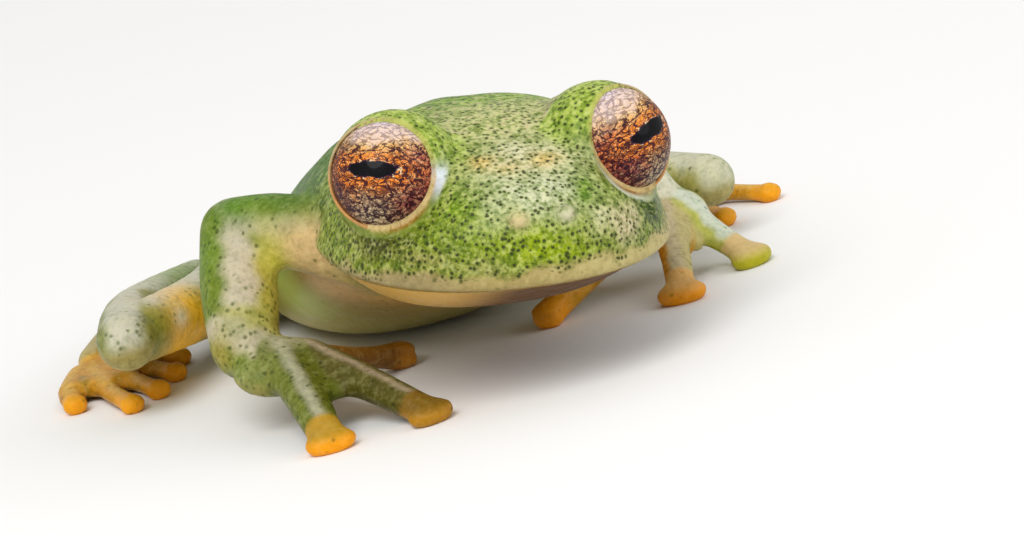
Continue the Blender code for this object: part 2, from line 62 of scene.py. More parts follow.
# Mouth: where its line runs and how it rises, then depths and half widths across the line
LIP_EDGE = -2.88
LIP_RISE = 0.05
MOUTH_BACK, MOUTH_SIDE, CHIN_LOW = 3.4, 5.2, -4.6
GROOVE_DEPTH, GROOVE_WIDTH = 0.15, 0.07
LIP_FULL, LIP_FULL_AT, LIP_FULL_WIDTH = 0.06, 0.24, 0.16
JAW_TUCK = 0.26
NOSTRIL_AT = (0.66, -3.07, -0.98)
NOSTRIL_BUMP = (0.27, 0.27, 0.22)
NOSTRIL_SLIT_OFF = (0.17, -0.06, -0.02)
NOSTRIL_SLIT = (0.07, 0.2, 0.1)
NOSTRIL_SLIT_DEPTH = 0.09

# Eyes
EYE_RADIUS = 1.5
EYE_RIM_AT = Vector((3.49, 0.0, 0.0))
EYE_RIM_DEPTH = 0.61
EYE_TURN_OUT = math.radians(30.0)
EYE_TURN_UP = math.radians(19.4)
# Bulge of flesh round each eye: radius, how far behind the ball's centre, how far inward
EYE_BULGE, BULGE_BACK, BULGE_IN = 1.83, 0.42, 0.12
EYE_ROOT, EYE_ROOT_RADIUS = 0.78, 1.72
# Lids: radius of their opening, the height they are held to, and its rise outwards
LID_OPENING = 1.49
LID_TOP, LID_RISE, LID_EASE = 0.6, 0.75, 0.15
LID_REACH, LID_BAND = 2.6, 0.05
SOCKET_FLOOR = 1.36
# Wrinkles over the upper lid: distance from the eye's axis, depth
LID_WRINKLES = ((1.64, 0.05), (1.80, 0.035))
LID_WRINKLE_WIDTH = 0.045
LID_RING, LID_RING_THICK, LID_RING_DEPTH = 1.47, 0.045, 0.5
PUPIL_SIZE = (0.64, 0.205)
PUPIL_OFFSET = (-0.03, 0.05)
PUPIL_TILT = {-1: math.radians(-3.0), 1: math.radians(14.0)}

# Trunk stations: y, half width, top, bottom, sideways shift
TRUNK = (
    (-8.6, 3.2, 6.9, 3.0, 0.45), (-6.4, 4.3, 7.1, 2.2, 0.4), (-4.2, 4.65, 6.95, 1.5, 0.35),
    (-2.0, 4.55, 6.5, 0.8, 0.25), (0.0, 4.3, 5.9, 0.2, 0.15), (2.5, 3.95, 5.05, -0.15, 0.1),
    (5.0, 3.55, 4.25, -0.25, 0.0), (8.0, 3.0, 3.35, -0.2, 0.0), (10.5, 2.4, 2.65, 0.05, 0.0),
    (12.2, 1.5, 2.1, 0.4, 0.0), (13.0, 0.6, 1.7, 0.8, 0.0),
)
# It leans with the head in front, and stands level from TRUNK_UPRIGHT back
TRUNK_LEAN = math.radians(7.0)
TRUNK_UPRIGHT = 4.0
TRUNK_LEAN_LENGTH = 12.0
TRUNK_SIDES = 40
# Relief of the back: height and half width of the spine, then of the furrow beside it
SPINE_AT = 0.2
SPINE_HEIGHT, SPINE_WIDTH = 0.07, 0.45
FURROW_DEPTH, FURROW_AT, FURROW_WIDTH = 0.05, 0.95, 0.4
# Shoulder blades and hip bones: height, place beside the spine, half width, place along, half length
BACK_BONES = ((0.16, 2.2, 0.8, -3.2, 1.4), (0.16, 1.5, 0.6, 6.0, 1.6))

# Limbs: places and radii along each one, from the body outwards.
# A palm has its place, half sizes and slope in degrees, and toes have the places of their tips.
ARMS = {
    'right': {
        'upper': ((-2.7, -5.6, 4.0, 1.15), (-4.5, -4.0, 4.85, 1.05), (-5.6, -2.6, 4.95, 0.98)),
        'fore': ((-5.6, -2.6, 4.95, 0.98), (-6.13, -3.8, 3.65, 1.1), (-6.65, -5.0, 2.3, 0.98)),
        'palm': ((-6.1, -6.1, 1.7), (1.35, 1.1, 0.65), 22.0),
        'fingers': {
            '1': ((-5.7, -5.2, 1.7, 0.42), (-5.0, -3.9, 0.85, 0.38), (-4.4, -2.9, 0.28, 0.4)),
            '2': ((-5.3, -5.6, 1.75, 0.46), (-3.6, -4.4, 0.95, 0.4), (-2.1, -3.3, 0.28, 0.42)),
            '3': ((-5.3, -6.2, 1.8, 0.62), (-4.3, -8.4, 1.0, 0.57), (-3.45, -10.45, 0.28, 0.5)),
            '4': ((-6.0, -6.2, 1.85, 0.66), (-6.1, -8.4, 1.05, 0.6), (-6.2, -10.15, 0.28, 0.52)),
        },
    },
    'left': {
        'upper': ((2.9, -5.0, 3.6, 1.15), (4.8, -2.4, 3.7, 1.0), (5.8, 0.3, 3.5, 0.95)),
        'fore': ((5.8, 0.3, 3.5, 0.95), (6.3, -0.6, 2.8, 0.95), (6.7, -1.5, 2.2, 0.8)),
        'palm': ((6.9, -2.2, 1.65), (1.1, 1.1, 0.6), 25.0),
        'fingers': {
            '1': ((6.1, -1.5, 1.6, 0.42), (5.1, -1.0, 0.85, 0.38), (4.2, -0.5, 0.28, 0.4)),
            '2': ((6.1, -2.1, 1.6, 0.46), (4.2, -3.0, 0.95, 0.4), (2.3, -3.8, 0.28, 0.42)),
            '3': ((6.6, -2.6, 1.6, 0.54), (6.1, -4.3, 0.9, 0.47), (5.6, -5.75, 0.28, 0.44)),
            '4': ((7.3, -2.3, 1.6, 0.54), (7.8, -3.1, 0.9, 0.47), (8.3, -3.95, 0.28, 0.44)),
        },
    },
}
LEGS = {
    'right': {
        'thigh': ((-1.8, 10.2, 1.5, 1.3), (-4.95, 5.4, 1.62, 1.0), (-8.2, 0.7, 2.3, 0.88)),
        'shank': ((-8.8, -0.1, 2.35, 0.88), (-7.05, 6.45, 1.72, 0.72), (-3.6, 12.6, 0.85, 0.62)),
        'tarsus': ((-3.9, 12.9, 0.62, 0.55), (-6.6, 10.5, 0.5, 0.48), (-8.4, 7.4, 0.46, 0.46)),
        'toes': ((-6.3, 5.65), (-6.9, 3.8), (-7.8, 2.3), (-8.8, 1.5), (-9.95, 3.6)),
    },
    'left': {
        'thigh': ((1.8, 10.2, 1.5, 1.3), (5.0, 5.5, 1.62, 1.0), (8.2, 1.1, 1.82, 0.82)),
        'shank': ((8.9, 0.1, 1.8, 0.8), (7.1, 6.5, 1.66, 0.72), (3.6, 12.6, 0.85, 0.62)),
        'tarsus': ((3.9, 12.9, 0.62, 0.55), (6.6, 10.5, 0.5, 0.48), (8.4, 7.4, 0.46, 0.46)),
        'toes': ((6.3, 5.6), (6.9, 3.8), (8.1, 2.4), (9.6, 1.9), (11.5, 3.3)),
    },
}
DOME_ANGLES = (0.5, 1.0, 1.45)      # rings that close the end of a limb
TOE_RADIUS = 0.34
TOE_HEIGHT, TOE_ARCH = 0.25, 0.06
TOE_BASE_RADIUS, TOE_SPREAD = 0.38, 0.28
FOOT_LIFT, FOOT_REACH = 0.36, 0.6
DISC_FORWARD = 0.1
DISC_SIZE = (0.78, 0.52, 0.38)
INNER_DISC_SIZE = (0.56, 0.44, 0.36)
TOE_DISC_SIZE = (0.43, 0.4, 0.34)
WEB_THICKNESS = 0.5
WEB_LIFT = 0.14
FINGER_WEB_REACH = 0.5
TOE_WEB_REACH = 0.58

# Camera, from the photograph's framing
CAMERA_AZIMUTH, CAMERA_ELEVATION, CAMERA_ROLL = (math.radians(v) for v in (-15.0, 12.0, 14.0))
CAMERA_DISTANCE = 180.0
PIXELS_PER_MM = 37.3
PICTURE_WIDTH, PICTURE_HEIGHT = 1024, 535
HEAD_PIXEL = (506.5, 155.5)     # where the middle between the eyes shows
SENSOR_WIDTH = 36.0

# Studio: strength of the white surroundings, and each lamp's place, width and power
SURROUNDINGS = 0.68
LAMPS = {'key': ((-160, -220, 300), 260, 0.95), 'fill': ((260, -200, 160), 260, 0.3)}


# Shapes

def smooth_keys(keys, steps):
    """Points of a smooth curve through keys, each a tuple of numbers."""
    points = []
    last = len(keys) - 1
    for i in range(last):
        before = keys[max(i - 1, 0)]
        after = keys[min(i + 2, last)]
        for step in range(steps):
            t = step / steps
            points.append(tuple(
                0.5 * (2 * b + (c - a) * t + (2 * a - 5 * b + 4 * c - d) * t * t
                       + (3 * b - a - 3 * c + d) * t ** 3)
                for a, b, c, d in zip(before, keys[i], keys[i + 1], after)))
    points.append(tuple(keys[-1]))
    return points


def join_loops(bm, near, far):
    """Faces between two loops of points."""
    count = len(near)
    for i in range(count):
        j = (i + 1) % count
        bm.faces.new((near[i], near[j], far[j], far[i]))


def add_rings(bm, rings):
    """Closed surface through rings of points, each end drawn to a fan."""
    loops = [[bm.verts.new(p) for p in ring] for ring in rings]
    count = len(loops[0])
    for near, far in zip(loops, loops[1:]):
        join_loops(bm, near, far)
    for loop, flip in ((loops[0], True), (loops[-1], False)):
        middle = bm.verts.new(sum((v.co for v in loop), Vector()) / count)
        for i in range(count):
            j = (i + 1) % count
            corners = (loop[j], loop[i], middle) if flip else (loop[i], loop[j], middle)
            bm.faces.new(corners)


def add_hoop(bm, place, radius, thickness, depth, around=72, sides=12):
    """Round ring in the plane that place faces, depth above its middle."""
    loops = []
    for k in range(around):
        a = 2 * math.pi * k / around
        loop = []
        for j in range(sides):
            b = 2 * math.pi * j / sides
            out = radius + thickness * math.cos(b)
            loop.append(bm.verts.new(place @ Vector((out * math.cos(a), out * math.sin(a),
                                                     depth + thickness * math.sin(b)))))
        loops.append(loop)
    for near, far in zip(loops, loops[1:] + loops[:1]):
        join_loops(bm, far, near)


def add_tube(bm, keys, sides=14, steps=5, squash=1.0):
    """Tapered round limb with domed ends through (x, y, z, radius) keys."""
    path = smooth_keys(keys, steps)
    places = [Vector(p[:3]) for p in path]
    radii = [p[3] for p in path]
    first = (places[0] - places[1]).normalized()
    final = (places[-1] - places[-2]).normalized()
    stations = [(places[0] + first * radii[0] * math.sin(a), radii[0] * math.cos(a), -first)
                for a in reversed(DOME_ANGLES)]
    for i, place in enumerate(places):
        along = places[min(i + 1, len(places) - 1)] - places[max(i - 1, 0)]
        stations.append((place, radii[i], along.normalized()))
    stations += [(places[-1] + final * radii[-1] * math.sin(a), radii[-1] * math.cos(a), final)
                 for a in DOME_ANGLES]
    across = stations[0][2].cross(Vector((0, 0, 1)))
    if across.length < 0.3:
        across = stations[0][2].cross(Vector((0, 1, 0)))
    rings = []
    for place, radius, along in stations:
        across = (across - along * across.dot(along)).normalized()
        over = across.cross(along)
        rings.append([place + across * radius * math.cos(2 * math.pi * k / sides)
                      + over * radius * squash * math.sin(2 * math.pi * k / sides)
                      for k in range(sides)])
    add_rings(bm, rings)


def add_ball(bm, place, size, turn=0.0, slope=0.0):
    """Ellipsoid with half sizes size, turned about the vertical and sloped down in front."""
    turned = Matrix.Rotation(turn, 4, 'Z') @ Matrix.Rotation(slope, 4, 'X')
    matrix = Matrix.Translation(place) @ turned @ Matrix.Diagonal((*size, 1.0))
    bmesh.ops.create_icosphere(bm, subdivisions=3, radius=1.0, matrix=matrix)


def side_power(value, power):
    """Signed power, for rounded-square outlines."""
    return math.copysign(abs(value) ** power, value)


def head_matrix():
    """Places the head's own frame on the body."""
    return Matrix.Translation(HEAD_AT) @ HEAD_TURN.to_matrix().to_4x4()


def eye_axis(side):
    """Direction in which the eye on side (-1 right, 1 left) looks, in the head's frame."""
    return Vector((side * math.sin(EYE_TURN_OUT) * math.cos(EYE_TURN_UP),
                   -math.cos(EYE_TURN_OUT) * math.cos(EYE_TURN_UP), math.sin(EYE_TURN_UP)))


def eye_matrix(side):
    """Places the eye's own frame: Z out of the pupil, Y up, origin at the ball's centre."""
    axis = eye_axis(side)
    centre = Vector((side * EYE_RIM_AT.x, EYE_RIM_AT.y, EYE_RIM_AT.z)) - axis * EYE_RIM_DEPTH
    across = Vector((0, 0, 1)).cross(axis).normalized()
    turn = Matrix((across, axis.cross(across), axis)).transposed().to_4x4()
    return head_matrix() @ Matrix.Translation(centre) @ turn


def add_head(bm):
    """Head as a stack of level outlines, round in front and full behind."""
    place = head_matrix()
    rings = []
    for height, wide, front, back in smooth_keys(HEAD_LEVELS, 3):
        ring = []
        for k in range(HEAD_SIDES):
            a = 2 * math.pi * k / HEAD_SIDES
            reach = back - HEAD_WIDEST if math.sin(a) > 0 else HEAD_WIDEST - front
            across = wide * side_power(math.cos(a), 0.9)
            along = HEAD_WIDEST + reach * side_power(math.sin(a), 0.92)
            ring.append(place @ Vector((across, along, height)))
        rings.append(ring)
    add_rings(bm, rings)


def add_trunk(bm):
    """Trunk as a row of upright sections that lean with the head in front."""
    rings = []
    for y, wide, top, bottom, shift in smooth_keys(TRUNK, 4):
        middle = bottom + 0.45 * (top - bottom)
        lean = TRUNK_LEAN * min(max((TRUNK_UPRIGHT - y) / TRUNK_LEAN_LENGTH, 0.0), 1.0)
        turn = Matrix.Rotation(lean, 3, 'Y')
        ring = []
        for k in range(TRUNK_SIDES):
            a = 2 * math.pi * k / TRUNK_SIDES
            rise = (top - middle) if math.sin(a) > 0 else (middle - bottom)
            across = wide * side_power(math.cos(a), 0.88)
            point = Vector((across, 0.0, rise * side_power(math.sin(a), 0.9)))
            ring.append(turn @ point + Vector((shift, y, middle)))
        rings.append(ring)
    rings.reverse()
    add_rings(bm, rings)


def web_line(first, second, reach, steps=6):
    """Pairs of places on two digits, from their roots to a share of their length."""
    rows = []
    for i in range(steps + 1):
        t = reach * i / steps
        row = []
        for keys in (first, second):
            path = smooth_keys(keys, 12)
            x, y, z, radius = path[min(int(t * (len(path) - 1)), len(path) - 1)]
            row.append(Vector((x, y, max(z, WEB_THICKNESS / 2 + WEB_LIFT))))
        rows.append(row)
    return rows


def add_web(bm, first, second, reach):
    """Skin between two digits."""
    up = Vector((0, 0, WEB_THICKNESS / 2))
    rings = [[near - up, far - up, far + up, near + up]
             for near, far in web_line(first, second, reach)]
    if (rings[1][0] - rings[0][0]).cross(rings[0][1] - rings[0][0]).z < 0:
        rings.reverse()
    add_rings(bm, rings)


def add_digit(bm, keys, disc):
    """Finger or toe with the broad disc at its tip."""
    add_tube(bm, keys, sides=12, squash=0.8)
    tip = Vector(keys[-1][:3])
    way = tip - Vector(keys[-2][:3])
    add_ball(bm, tip + way.normalized() * DISC_FORWARD, disc, math.atan2(way.y, way.x) - math.pi / 2)


def toe_keys(leg, index):
    """Path of one hind toe, from the end of the tarsus to its tip."""
    root = leg['tarsus'][-1]
    tip = leg['toes'][index]
    spread = (index - 2) * TOE_SPREAD * (1 if root[0] < 0 else -1)
    base = (root[0] - spread, root[1] - FOOT_REACH, FOOT_LIFT, TOE_BASE_RADIUS)
    middle = (0.55 * tip[0] + 0.45 * base[0] - spread / 2, 0.55 * tip[1] + 0.45 * base[1],
              TOE_HEIGHT + TOE_ARCH, TOE_RADIUS)
    return (base, middle, (tip[0], tip[1], TOE_HEIGHT, TOE_RADIUS))


def new_object(name, bm):
    """Object from a bmesh, which is used up."""
    bmesh.ops.recalc_face_normals(bm, faces=bm.faces)
    mesh = bpy.data.meshes.new(name)
    bm.to_mesh(mesh)
    bm.free()
    obj = bpy.data.objects.new(name, mesh)
    bpy.context.scene.collection.objects.link(obj)
    return obj


def fuse(obj, grain, smoothing):
    """One closed skin around all the closed forms in the object."""
    remesh = obj.modifiers.new('fuse', 'REMESH')
    remesh.mode = 'VOXEL'
    remesh.voxel_size = grain
    smooth = obj.modifiers.new('smooth', 'SMOOTH')
    smooth.factor = 0.5
    smooth.iterations = smoothing
    graph = bpy.context.evaluated_depsgraph_get()
    graph.update()
    mesh = bpy.data.meshes.new_from_object(obj.evaluated_get(graph))
    obj.modifiers.clear()
    obj.data = mesh


def build_flesh():
    """The whole body as one smooth closed form."""
    flesh = bmesh.new()
    add_head(flesh)
    add_trunk(flesh)
    for side in (-1, 1):
        place = eye_matrix(side)
        inward = head_matrix().to_3x3() @ Vector((side * BULGE_IN, 0, 0))
        for back, radius in ((BULGE_BACK, EYE_BULGE), (BULGE_BACK + EYE_ROOT, EYE_ROOT_RADIUS)):
            add_ball(flesh, place @ Vector((0, 0, -back)) - inward, (radius,) * 3)
    for arm in ARMS.values():
        add_tube(flesh, arm['upper'])
        add_tube(flesh, arm['fore'])
        place, size, slope = arm['palm']
        add_ball(flesh, Vector(place), size, slope=math.radians(slope))
        for number, keys in arm['fingers'].items():
            add_digit(flesh, keys, DISC_SIZE if number in '34' else INNER_DISC_SIZE)
        add_web(flesh, arm['fingers']['3'], arm['fingers']['4'], FINGER_WEB_REACH)
    for leg in LEGS.values():
        for name in ('thigh', 'shank', 'tarsus'):
            add_tube(flesh, leg[name])
        paths = [toe_keys(leg, index) for index in range(5)]
        for keys in paths:
            add_digit(flesh, keys, TOE_DISC_SIZE)
        for first, second in zip(paths, paths[1:]):
            add_web(flesh, first, second, TOE_WEB_REACH)
    body = new_object('skin', flesh)
    fuse(body, BODY_GRAIN, BODY_SMOOTHING)
    return body


def add_nostrils(body):
    """Soft bump round each nostril, fused into the skin."""
    details = bmesh.new()
    details.from_mesh(body.data)
    head = head_matrix()
    x, y, z = NOSTRIL_AT
    for side in (-1, 1):
        add_ball(details, head @ Vector((side * x, y, z)), NOSTRIL_BUMP)
    details.to_mesh(body.data)
    details.free()
    fuse(body, SKIN_GRAIN, SKIN_SMOOTHING)


def points_of(mesh):
    """The mesh's points as rows of numbers."""
    points = np.empty(len(mesh.vertices) * 3)
    mesh.vertices.foreach_get('co', points)
    return points.reshape(-1, 3)


def normals_of(mesh):
    """The normals of the mesh's points as rows of numbers."""
    normals = np.empty(len(mesh.vertices) * 3)
    mesh.vertex_normals.foreach_get('vector', normals)
    return normals.reshape(-1, 3)


def set_points(mesh, points):
    """Moves the mesh's points."""
    mesh.vertices.foreach_set('co', points.ravel())
    mesh.update()


def seen_from(matrix, points):
    """The points in the frame that matrix places."""
    inverse = np.array(matrix.inverted())
    return points @ inverse[:3, :3].T + inverse[:3, 3]


def put_back(matrix, points):
    """Points of the frame that matrix places, in the body's frame."""
    forward = np.array(matrix)
    return points @ forward[:3, :3].T + forward[:3, 3]


def fade(value, start, end):
    """Smooth step from 0 at start to 1 at end."""
    t = np.clip((value - start) / (end - start), 0.0, 1.0)
    return t * t * (3 - 2 * t)


def open_sockets(points):
    """Rounds the lids around each eye, and sinks the skin under the ball inside a clean edge."""
    for side in (-1, 1):
        place = eye_matrix(side)
        seen = seen_from(place, points)
        out = np.hypot(seen[:, 0], seen[:, 1])
        front = (seen[:, 2] > 0) & (np.linalg.norm(seen, axis=1) < LID_REACH)
        most = LID_TOP + LID_RISE * np.maximum(out - LID_OPENING, 0.0)
        proud = front & (seen[:, 2] > most)
        seen[proud, 2] = most[proud] + LID_EASE * (seen[proud, 2] - most[proud])
        angle = np.arctan2(seen[:, 1], -side * seen[:, 0])
        upper = fade(angle, -0.3, 0.4) * (seen[:, 1] > -0.6) * front
        for radius, depth in LID_WRINKLES:
            seen[:, 2] -= depth * upper * np.exp(-((out - radius) / LID_WRINKLE_WIDTH) ** 2)
        band = front & (abs(out - LID_OPENING) < LID_BAND)
        seen[band, :2] *= (LID_OPENING / out[band])[:, None]
        away = np.linalg.norm(seen, axis=1)
        sunk = front & (out < LID_OPENING - LID_BAND) & (away > SOCKET_FLOOR)
        seen[sunk] *= (SOCKET_FLOOR / away[sunk])[:, None]
        points[front] = put_back(place, seen[front])


def crease_mouth(points, normals):
    """Line of the closed mouth, and the lower jaw just inside the upper lip."""
    x, y, z = seen_from(head_matrix(), points).T
    height = z - LIP_EDGE - LIP_RISE * np.maximum(y, 0)
    mouth = fade(y, MOUTH_BACK + 1.2, MOUTH_BACK - 0.6) * (abs(x) < MOUTH_SIDE) * (z > CHIN_LOW)
    groove = (GROOVE_DEPTH * np.exp(-(height / GROOVE_WIDTH) ** 2)
              - LIP_FULL * np.exp(-((height - LIP_FULL_AT) / LIP_FULL_WIDTH) ** 2))
    tucked = JAW_TUCK * fade(height, 0.0, -0.2) * fade(height, -1.3, -0.5)
    points -= normals * ((groove + tucked) * mouth)[:, None]


def dent_nostrils(points, normals):
    """Small slit on the outer side of each nostril's bump."""
    seen = seen_from(head_matrix(), points)
    x, y, z = np.array(NOSTRIL_AT) + NOSTRIL_SLIT_OFF
    for side in (-1, 1):
        slit = patch(seen, (side * x, y, z), NOSTRIL_SLIT)
        points -= normals * (NOSTRIL_SLIT_DEPTH * slit)[:, None]


def shape_back(points, normals):
    """Low ridge of the spine, and the shoulder blades and hip bones beside it."""
    x = abs(points[:, 0] - SPINE_AT)
    y = points[:, 1]
    over = fade(normals[:, 2], 0.35, 0.8) * fade(y, -6.5, -4.5) * fade(y, 11.5, 8.5)
    raised = SPINE_HEIGHT * np.exp(-(x / SPINE_WIDTH) ** 2)
    raised -= FURROW_DEPTH * np.exp(-((x - FURROW_AT) / FURROW_WIDTH) ** 2)
    for bone, beside, width, along, length in BACK_BONES:
        raised += bone * np.exp(-((x - beside) / width) ** 2 - ((y - along) / length) ** 2)
    points += normals * (raised * over)[:, None]


def build_skin():
    """The frog's skin, without seams, over every part of its flesh."""
    body = build_flesh()
    add_nostrils(body)
    mesh = body.data
    points, normals = points_of(mesh), normals_of(mesh)
    open_sockets(points)
    crease_mouth(points, normals)
    dent_nostrils(points, normals)
    shape_back(points, normals)
    points[:, 2] = np.maximum(points[:, 2], 0.0)
    set_points(mesh, points)
    mesh.polygons.foreach_set('use_smooth', [True] * len(mesh.polygons))
    return body


# Markings, worked out point by point from the body's own landmarks

def tone(code):
    """Linear colour from six hex digits."""
    values = np.array([int(code[i:i + 2], 16) / 255 for i in (0, 2, 4)])
    return np.where(values <= 0.04045, values / 12.92, ((values + 0.055) / 1.055) ** 2.4)


def lay(tints, code, mask):
    """Lays a colour over the tints where mask says."""
    tints += (tone(code) - tints) * np.clip(mask, 0.0, 1.0)[:, None]


def patch(points, centre, size):
    """Soft round patch, 1 at its centre."""
    return np.exp(-(((points - np.array(centre)) / np.array(size)) ** 2).sum(1))


def wavering(points, grain):
    """Slow random value between about -0.5 and 0.5 for each point."""
    step = 1.0 / grain
    return np.array([noise.noise((x * step, y * step, z * step)) for x, y, z in points])


def along_limb(points, keys, up, outward):
    """Distance outside a limb, share of the way along it, and places across and over it."""
    count = len(points)
    best = np.full(count, 1e9)
    share, across, over = np.zeros(count), np.zeros(count), np.zeros(count)
    last = len(keys) - 1
    for i in range(last):
        a, b = np.array(keys[i][:3]), np.array(keys[i + 1][:3])
        way = b - a
        t = np.clip((points - a) @ way / (way @ way), 0.0, 1.0)
        off = points - a - t[:, None] * way
        radius = keys[i][3] + t * (keys[i + 1][3] - keys[i][3])
        away = np.linalg.norm(off, axis=1) - radius
        unit = way / np.linalg.norm(way)
        top = np.array(up) - unit * (np.array(up) @ unit)
        top /= np.linalg.norm(top)
        side = np.cross(unit, top)
        side *= math.copysign(1.0, side[0] * outward)
        nearer = away < best
        best[nearer] = away[nearer]
        share[nearer] = (i + t[nearer]) / last
        across[nearer] = (off[nearer] @ side) / radius[nearer]
        over[nearer] = (off[nearer] @ top) / radius[nearer]
    return best, share, across, over


# Colours of the trunk above its belly: colour, and the slopes of skin between which it comes in
BELLY = 'A99E58'
TRUNK_TONES = (('928E38', -0.75, -0.35), ('5E7C18', -0.3, 0.1), ('42700A', 0.1, 0.4), ('446E06', 0.5, 0.9))


def paint_trunk(tints, marks, points, normals, waver):
    """Smooth green back, olive flanks, tan throat and chest, pale belly."""
    up = normals[:, 2] + 0.25 * waver
    tints[:] = tone(BELLY)
    for code, below, above in TRUNK_TONES:
        lay(tints, code, fade(up, below, above))
    front = fade(points[:, 1], -1.0, -4.5)
    lay(tints, 'A48C42', front * fade(up, 0.35, -0.1))
    marks[:, 0] = (0.12 + 0.5 * fade(points[:, 1], -3.0, -5.5)) * fade(up, 0.2, 0.6)
    marks[:, 1] = 0.5 * fade(up, -0.4, 0.4)


# Markings are placed in millimetres, and those of the head in its own frame.
# Patches of the face: place, size, colour, strength
HEAD_PATCHES = (
    ((-4.3, 1.8, -1.80), (1.2, 1.6, 0.90), '76851E', 0.6),
    ((-4.2, -0.2, -1.70), (0.9, 1.0, 0.55), '787226', 0.8),
    # Beneath the right eye: the darker green ring there, deepened with painted shade
    ((-3.9, -0.7, -1.65), (1.0, 0.9, 0.40), '4C500C', 1.0),
    ((-3.3, -1.6, -0.95), (0.8, 0.7, 0.35), '74802A', 0.7),
    ((0.15, -2.1, -0.50), (1.5, 1.3, 0.70), 'C6C8A6', 1.2),
    ((0.40, -0.9, 0.10), (1.6, 1.0, 0.50), 'CFC9A8', 1.1),
    ((-0.97, -0.85, 0.15), (0.42, 0.3, 0.30), 'DDB262', 0.8),
    ((-0.30, -1.30, 0.00), (0.40, 0.2, 0.30), 'DDB262', 0.5),
    ((0.75, -1.10, 0.08), (0.42, 0.35, 0.30), 'DDB25E', 0.8),
    ((-0.05, -3.35, -1.80), (1.15, 0.8, 0.40), '94A600', 1.3),
    ((1.15, -3.20, -1.60), (0.5, 0.5, 0.35), '84940C', 0.9),
    ((-2.1, -2.0, -0.75), (0.7, 0.7, 0.32), '86A018', 0.9),
    ((-1.5, -2.6, -1.40), (0.6, 0.5, 0.30), '84981E', 0.8),
    ((1.45, -2.3, -0.60), (0.3, 0.7, 0.40), '6C8E1C', 1.0),
    ((2.9, -1.9, -0.90), (0.9, 0.9, 0.45), '73882C', 0.9),
    ((3.7, -0.9, -1.45), (0.9, 1.2, 0.80), '485E08', 1.3),
    ((1.75, -2.9, -1.25), (0.45, 0.4, 0.35), 'CCC8A2', 0.9),
    ((2.35, -2.5, -1.65), (0.7, 0.6, 0.45), 'D2BFA0', 1.2),
    ((-3.0, -2.0, -2.00), (0.9, 0.9, 0.28), '9A8E54', 0.8),
    ((-1.5, -3.0, -2.15), (0.9, 0.6, 0.22), 'A29C60', 0.7),
    ((-1.6, 2.6, 0.75), (0.9, 1.1, 0.60), '7A9030', 0.8),
    ((-1.75, -0.1, 0.50), (0.25, 0.9, 0.40), '3C5612', 1.0),
    ((1.62, 0.5, 0.70), (0.28, 0.9, 0.40), '50501E', 1.0),
    ((2.70, -0.1, 1.20), (0.9, 0.8, 0.65), '8D8840', 0.9),
)
# Wide zones of the face: colour, where it comes in from front to back and from low to high
HEAD_GREEN = '80921A'
HEAD_ZONES = (
    ('BEBF80', (-0.8, 0.6), (0.1, 0.5)),
    ('8CAE30', (1.8, 3.6), (-0.9, 0.2)),
    ('4E7C0E', (3.2, 5.0), (-0.9, 0.2)),
)
# Pale corner of each eye's lids: direction, half width, colour
LID_CORNERS = {-1: (-0.12, 0.24, 'CDD3D8'), 1: (-0.9, 0.6, 'C4C8B0')}


def paint_head(tints, marks, seen, waver):
    """Face: pale snout, green cheeks, lime patch under the nostrils, cream lips, and painted shade under the
    right eye, along the mouth and under the chin.
    """
    x, y, z = seen.T
    face = fade(y, 5.6, 4.2) * fade(abs(x), 6.0, 5.4)
    over = face * fade(z, -3.1, -2.8)
    lay(tints, HEAD_GREEN, over)
    for code, back, above in HEAD_ZONES:
        lay(tints, code, over * fade(y, *back) * fade(z, *above))
    for centre, size, code, strength in HEAD_PATCHES:
        lay(tints, code, strength * patch(seen + 0.25 * waver[:, None], centre, size) * over)
    lip_edge = z + 0.3 * waver + 0.16 * fade(x, -0.5, -3.5)
    lip = face * fade(lip_edge, -2.12, -2.48) * fade(y, 4.2, 2.0)
    lay(tints, 'A6935C', lip)
    lay(tints, '96855A', lip * fade(x, -1.5, -3.5))
    lay(tints, 'B5A66E', lip * fade(x, -1.0, 2.0))
    # Painted shade: darker band just above the mouth's groove
    lay(tints, '8A7038', face * fade(z, -2.74, -2.87))
    # Tan of the lower jaw, made lighter against the shade there
    under = face * fade(z, -2.84, -2.98)
    lay(tints, 'D0A450', under)
    # Painted shade: dark brown under the chin, from its middle to its left side
    lay(tints, '5A3810', under * fade(x, -2.8, -0.4))
    marks[:, 0] += (1.0 - marks[:, 0]) * over
    marks[:, 0] *= 1 - fade(lip_edge, -2.34, -2.56) * face
    marks[:, 0] *= 1 - 0.22 * over * fade(y, -0.8, 1.0) * fade(z, 0.0, 0.5)
    marks[:, 1] += (1.0 - marks[:, 1]) * over
    marks[:, 1] *= 1 - 0.75 * lip
    marks[:, 2] = over * fade(y, -0.8, 0.6) * fade(z, -0.1, 0.45)


def paint_nostrils(tints, marks, seen):
    """Pale tan bumps round the nostrils."""
    x, y, z = NOSTRIL_AT
    for side, code in ((-1, 'DCC498'), (1, 'D4CCB2')):
        bump = patch(seen, (side * x, y - 0.1, z), (0.27, 0.35, 0.22))
        lay(tints, code, 0.95 * bump)
        marks[:, 0] *= 1 - np.clip(1.5 * bump, 0, 1)
        marks[:, 1] *= 1 - bump
        slit = patch(seen, (side * (x + 0.2), y, z - 0.02), (0.05, 0.2, 0.06))
        lay(tints, '7D6A45', 0.8 * slit)


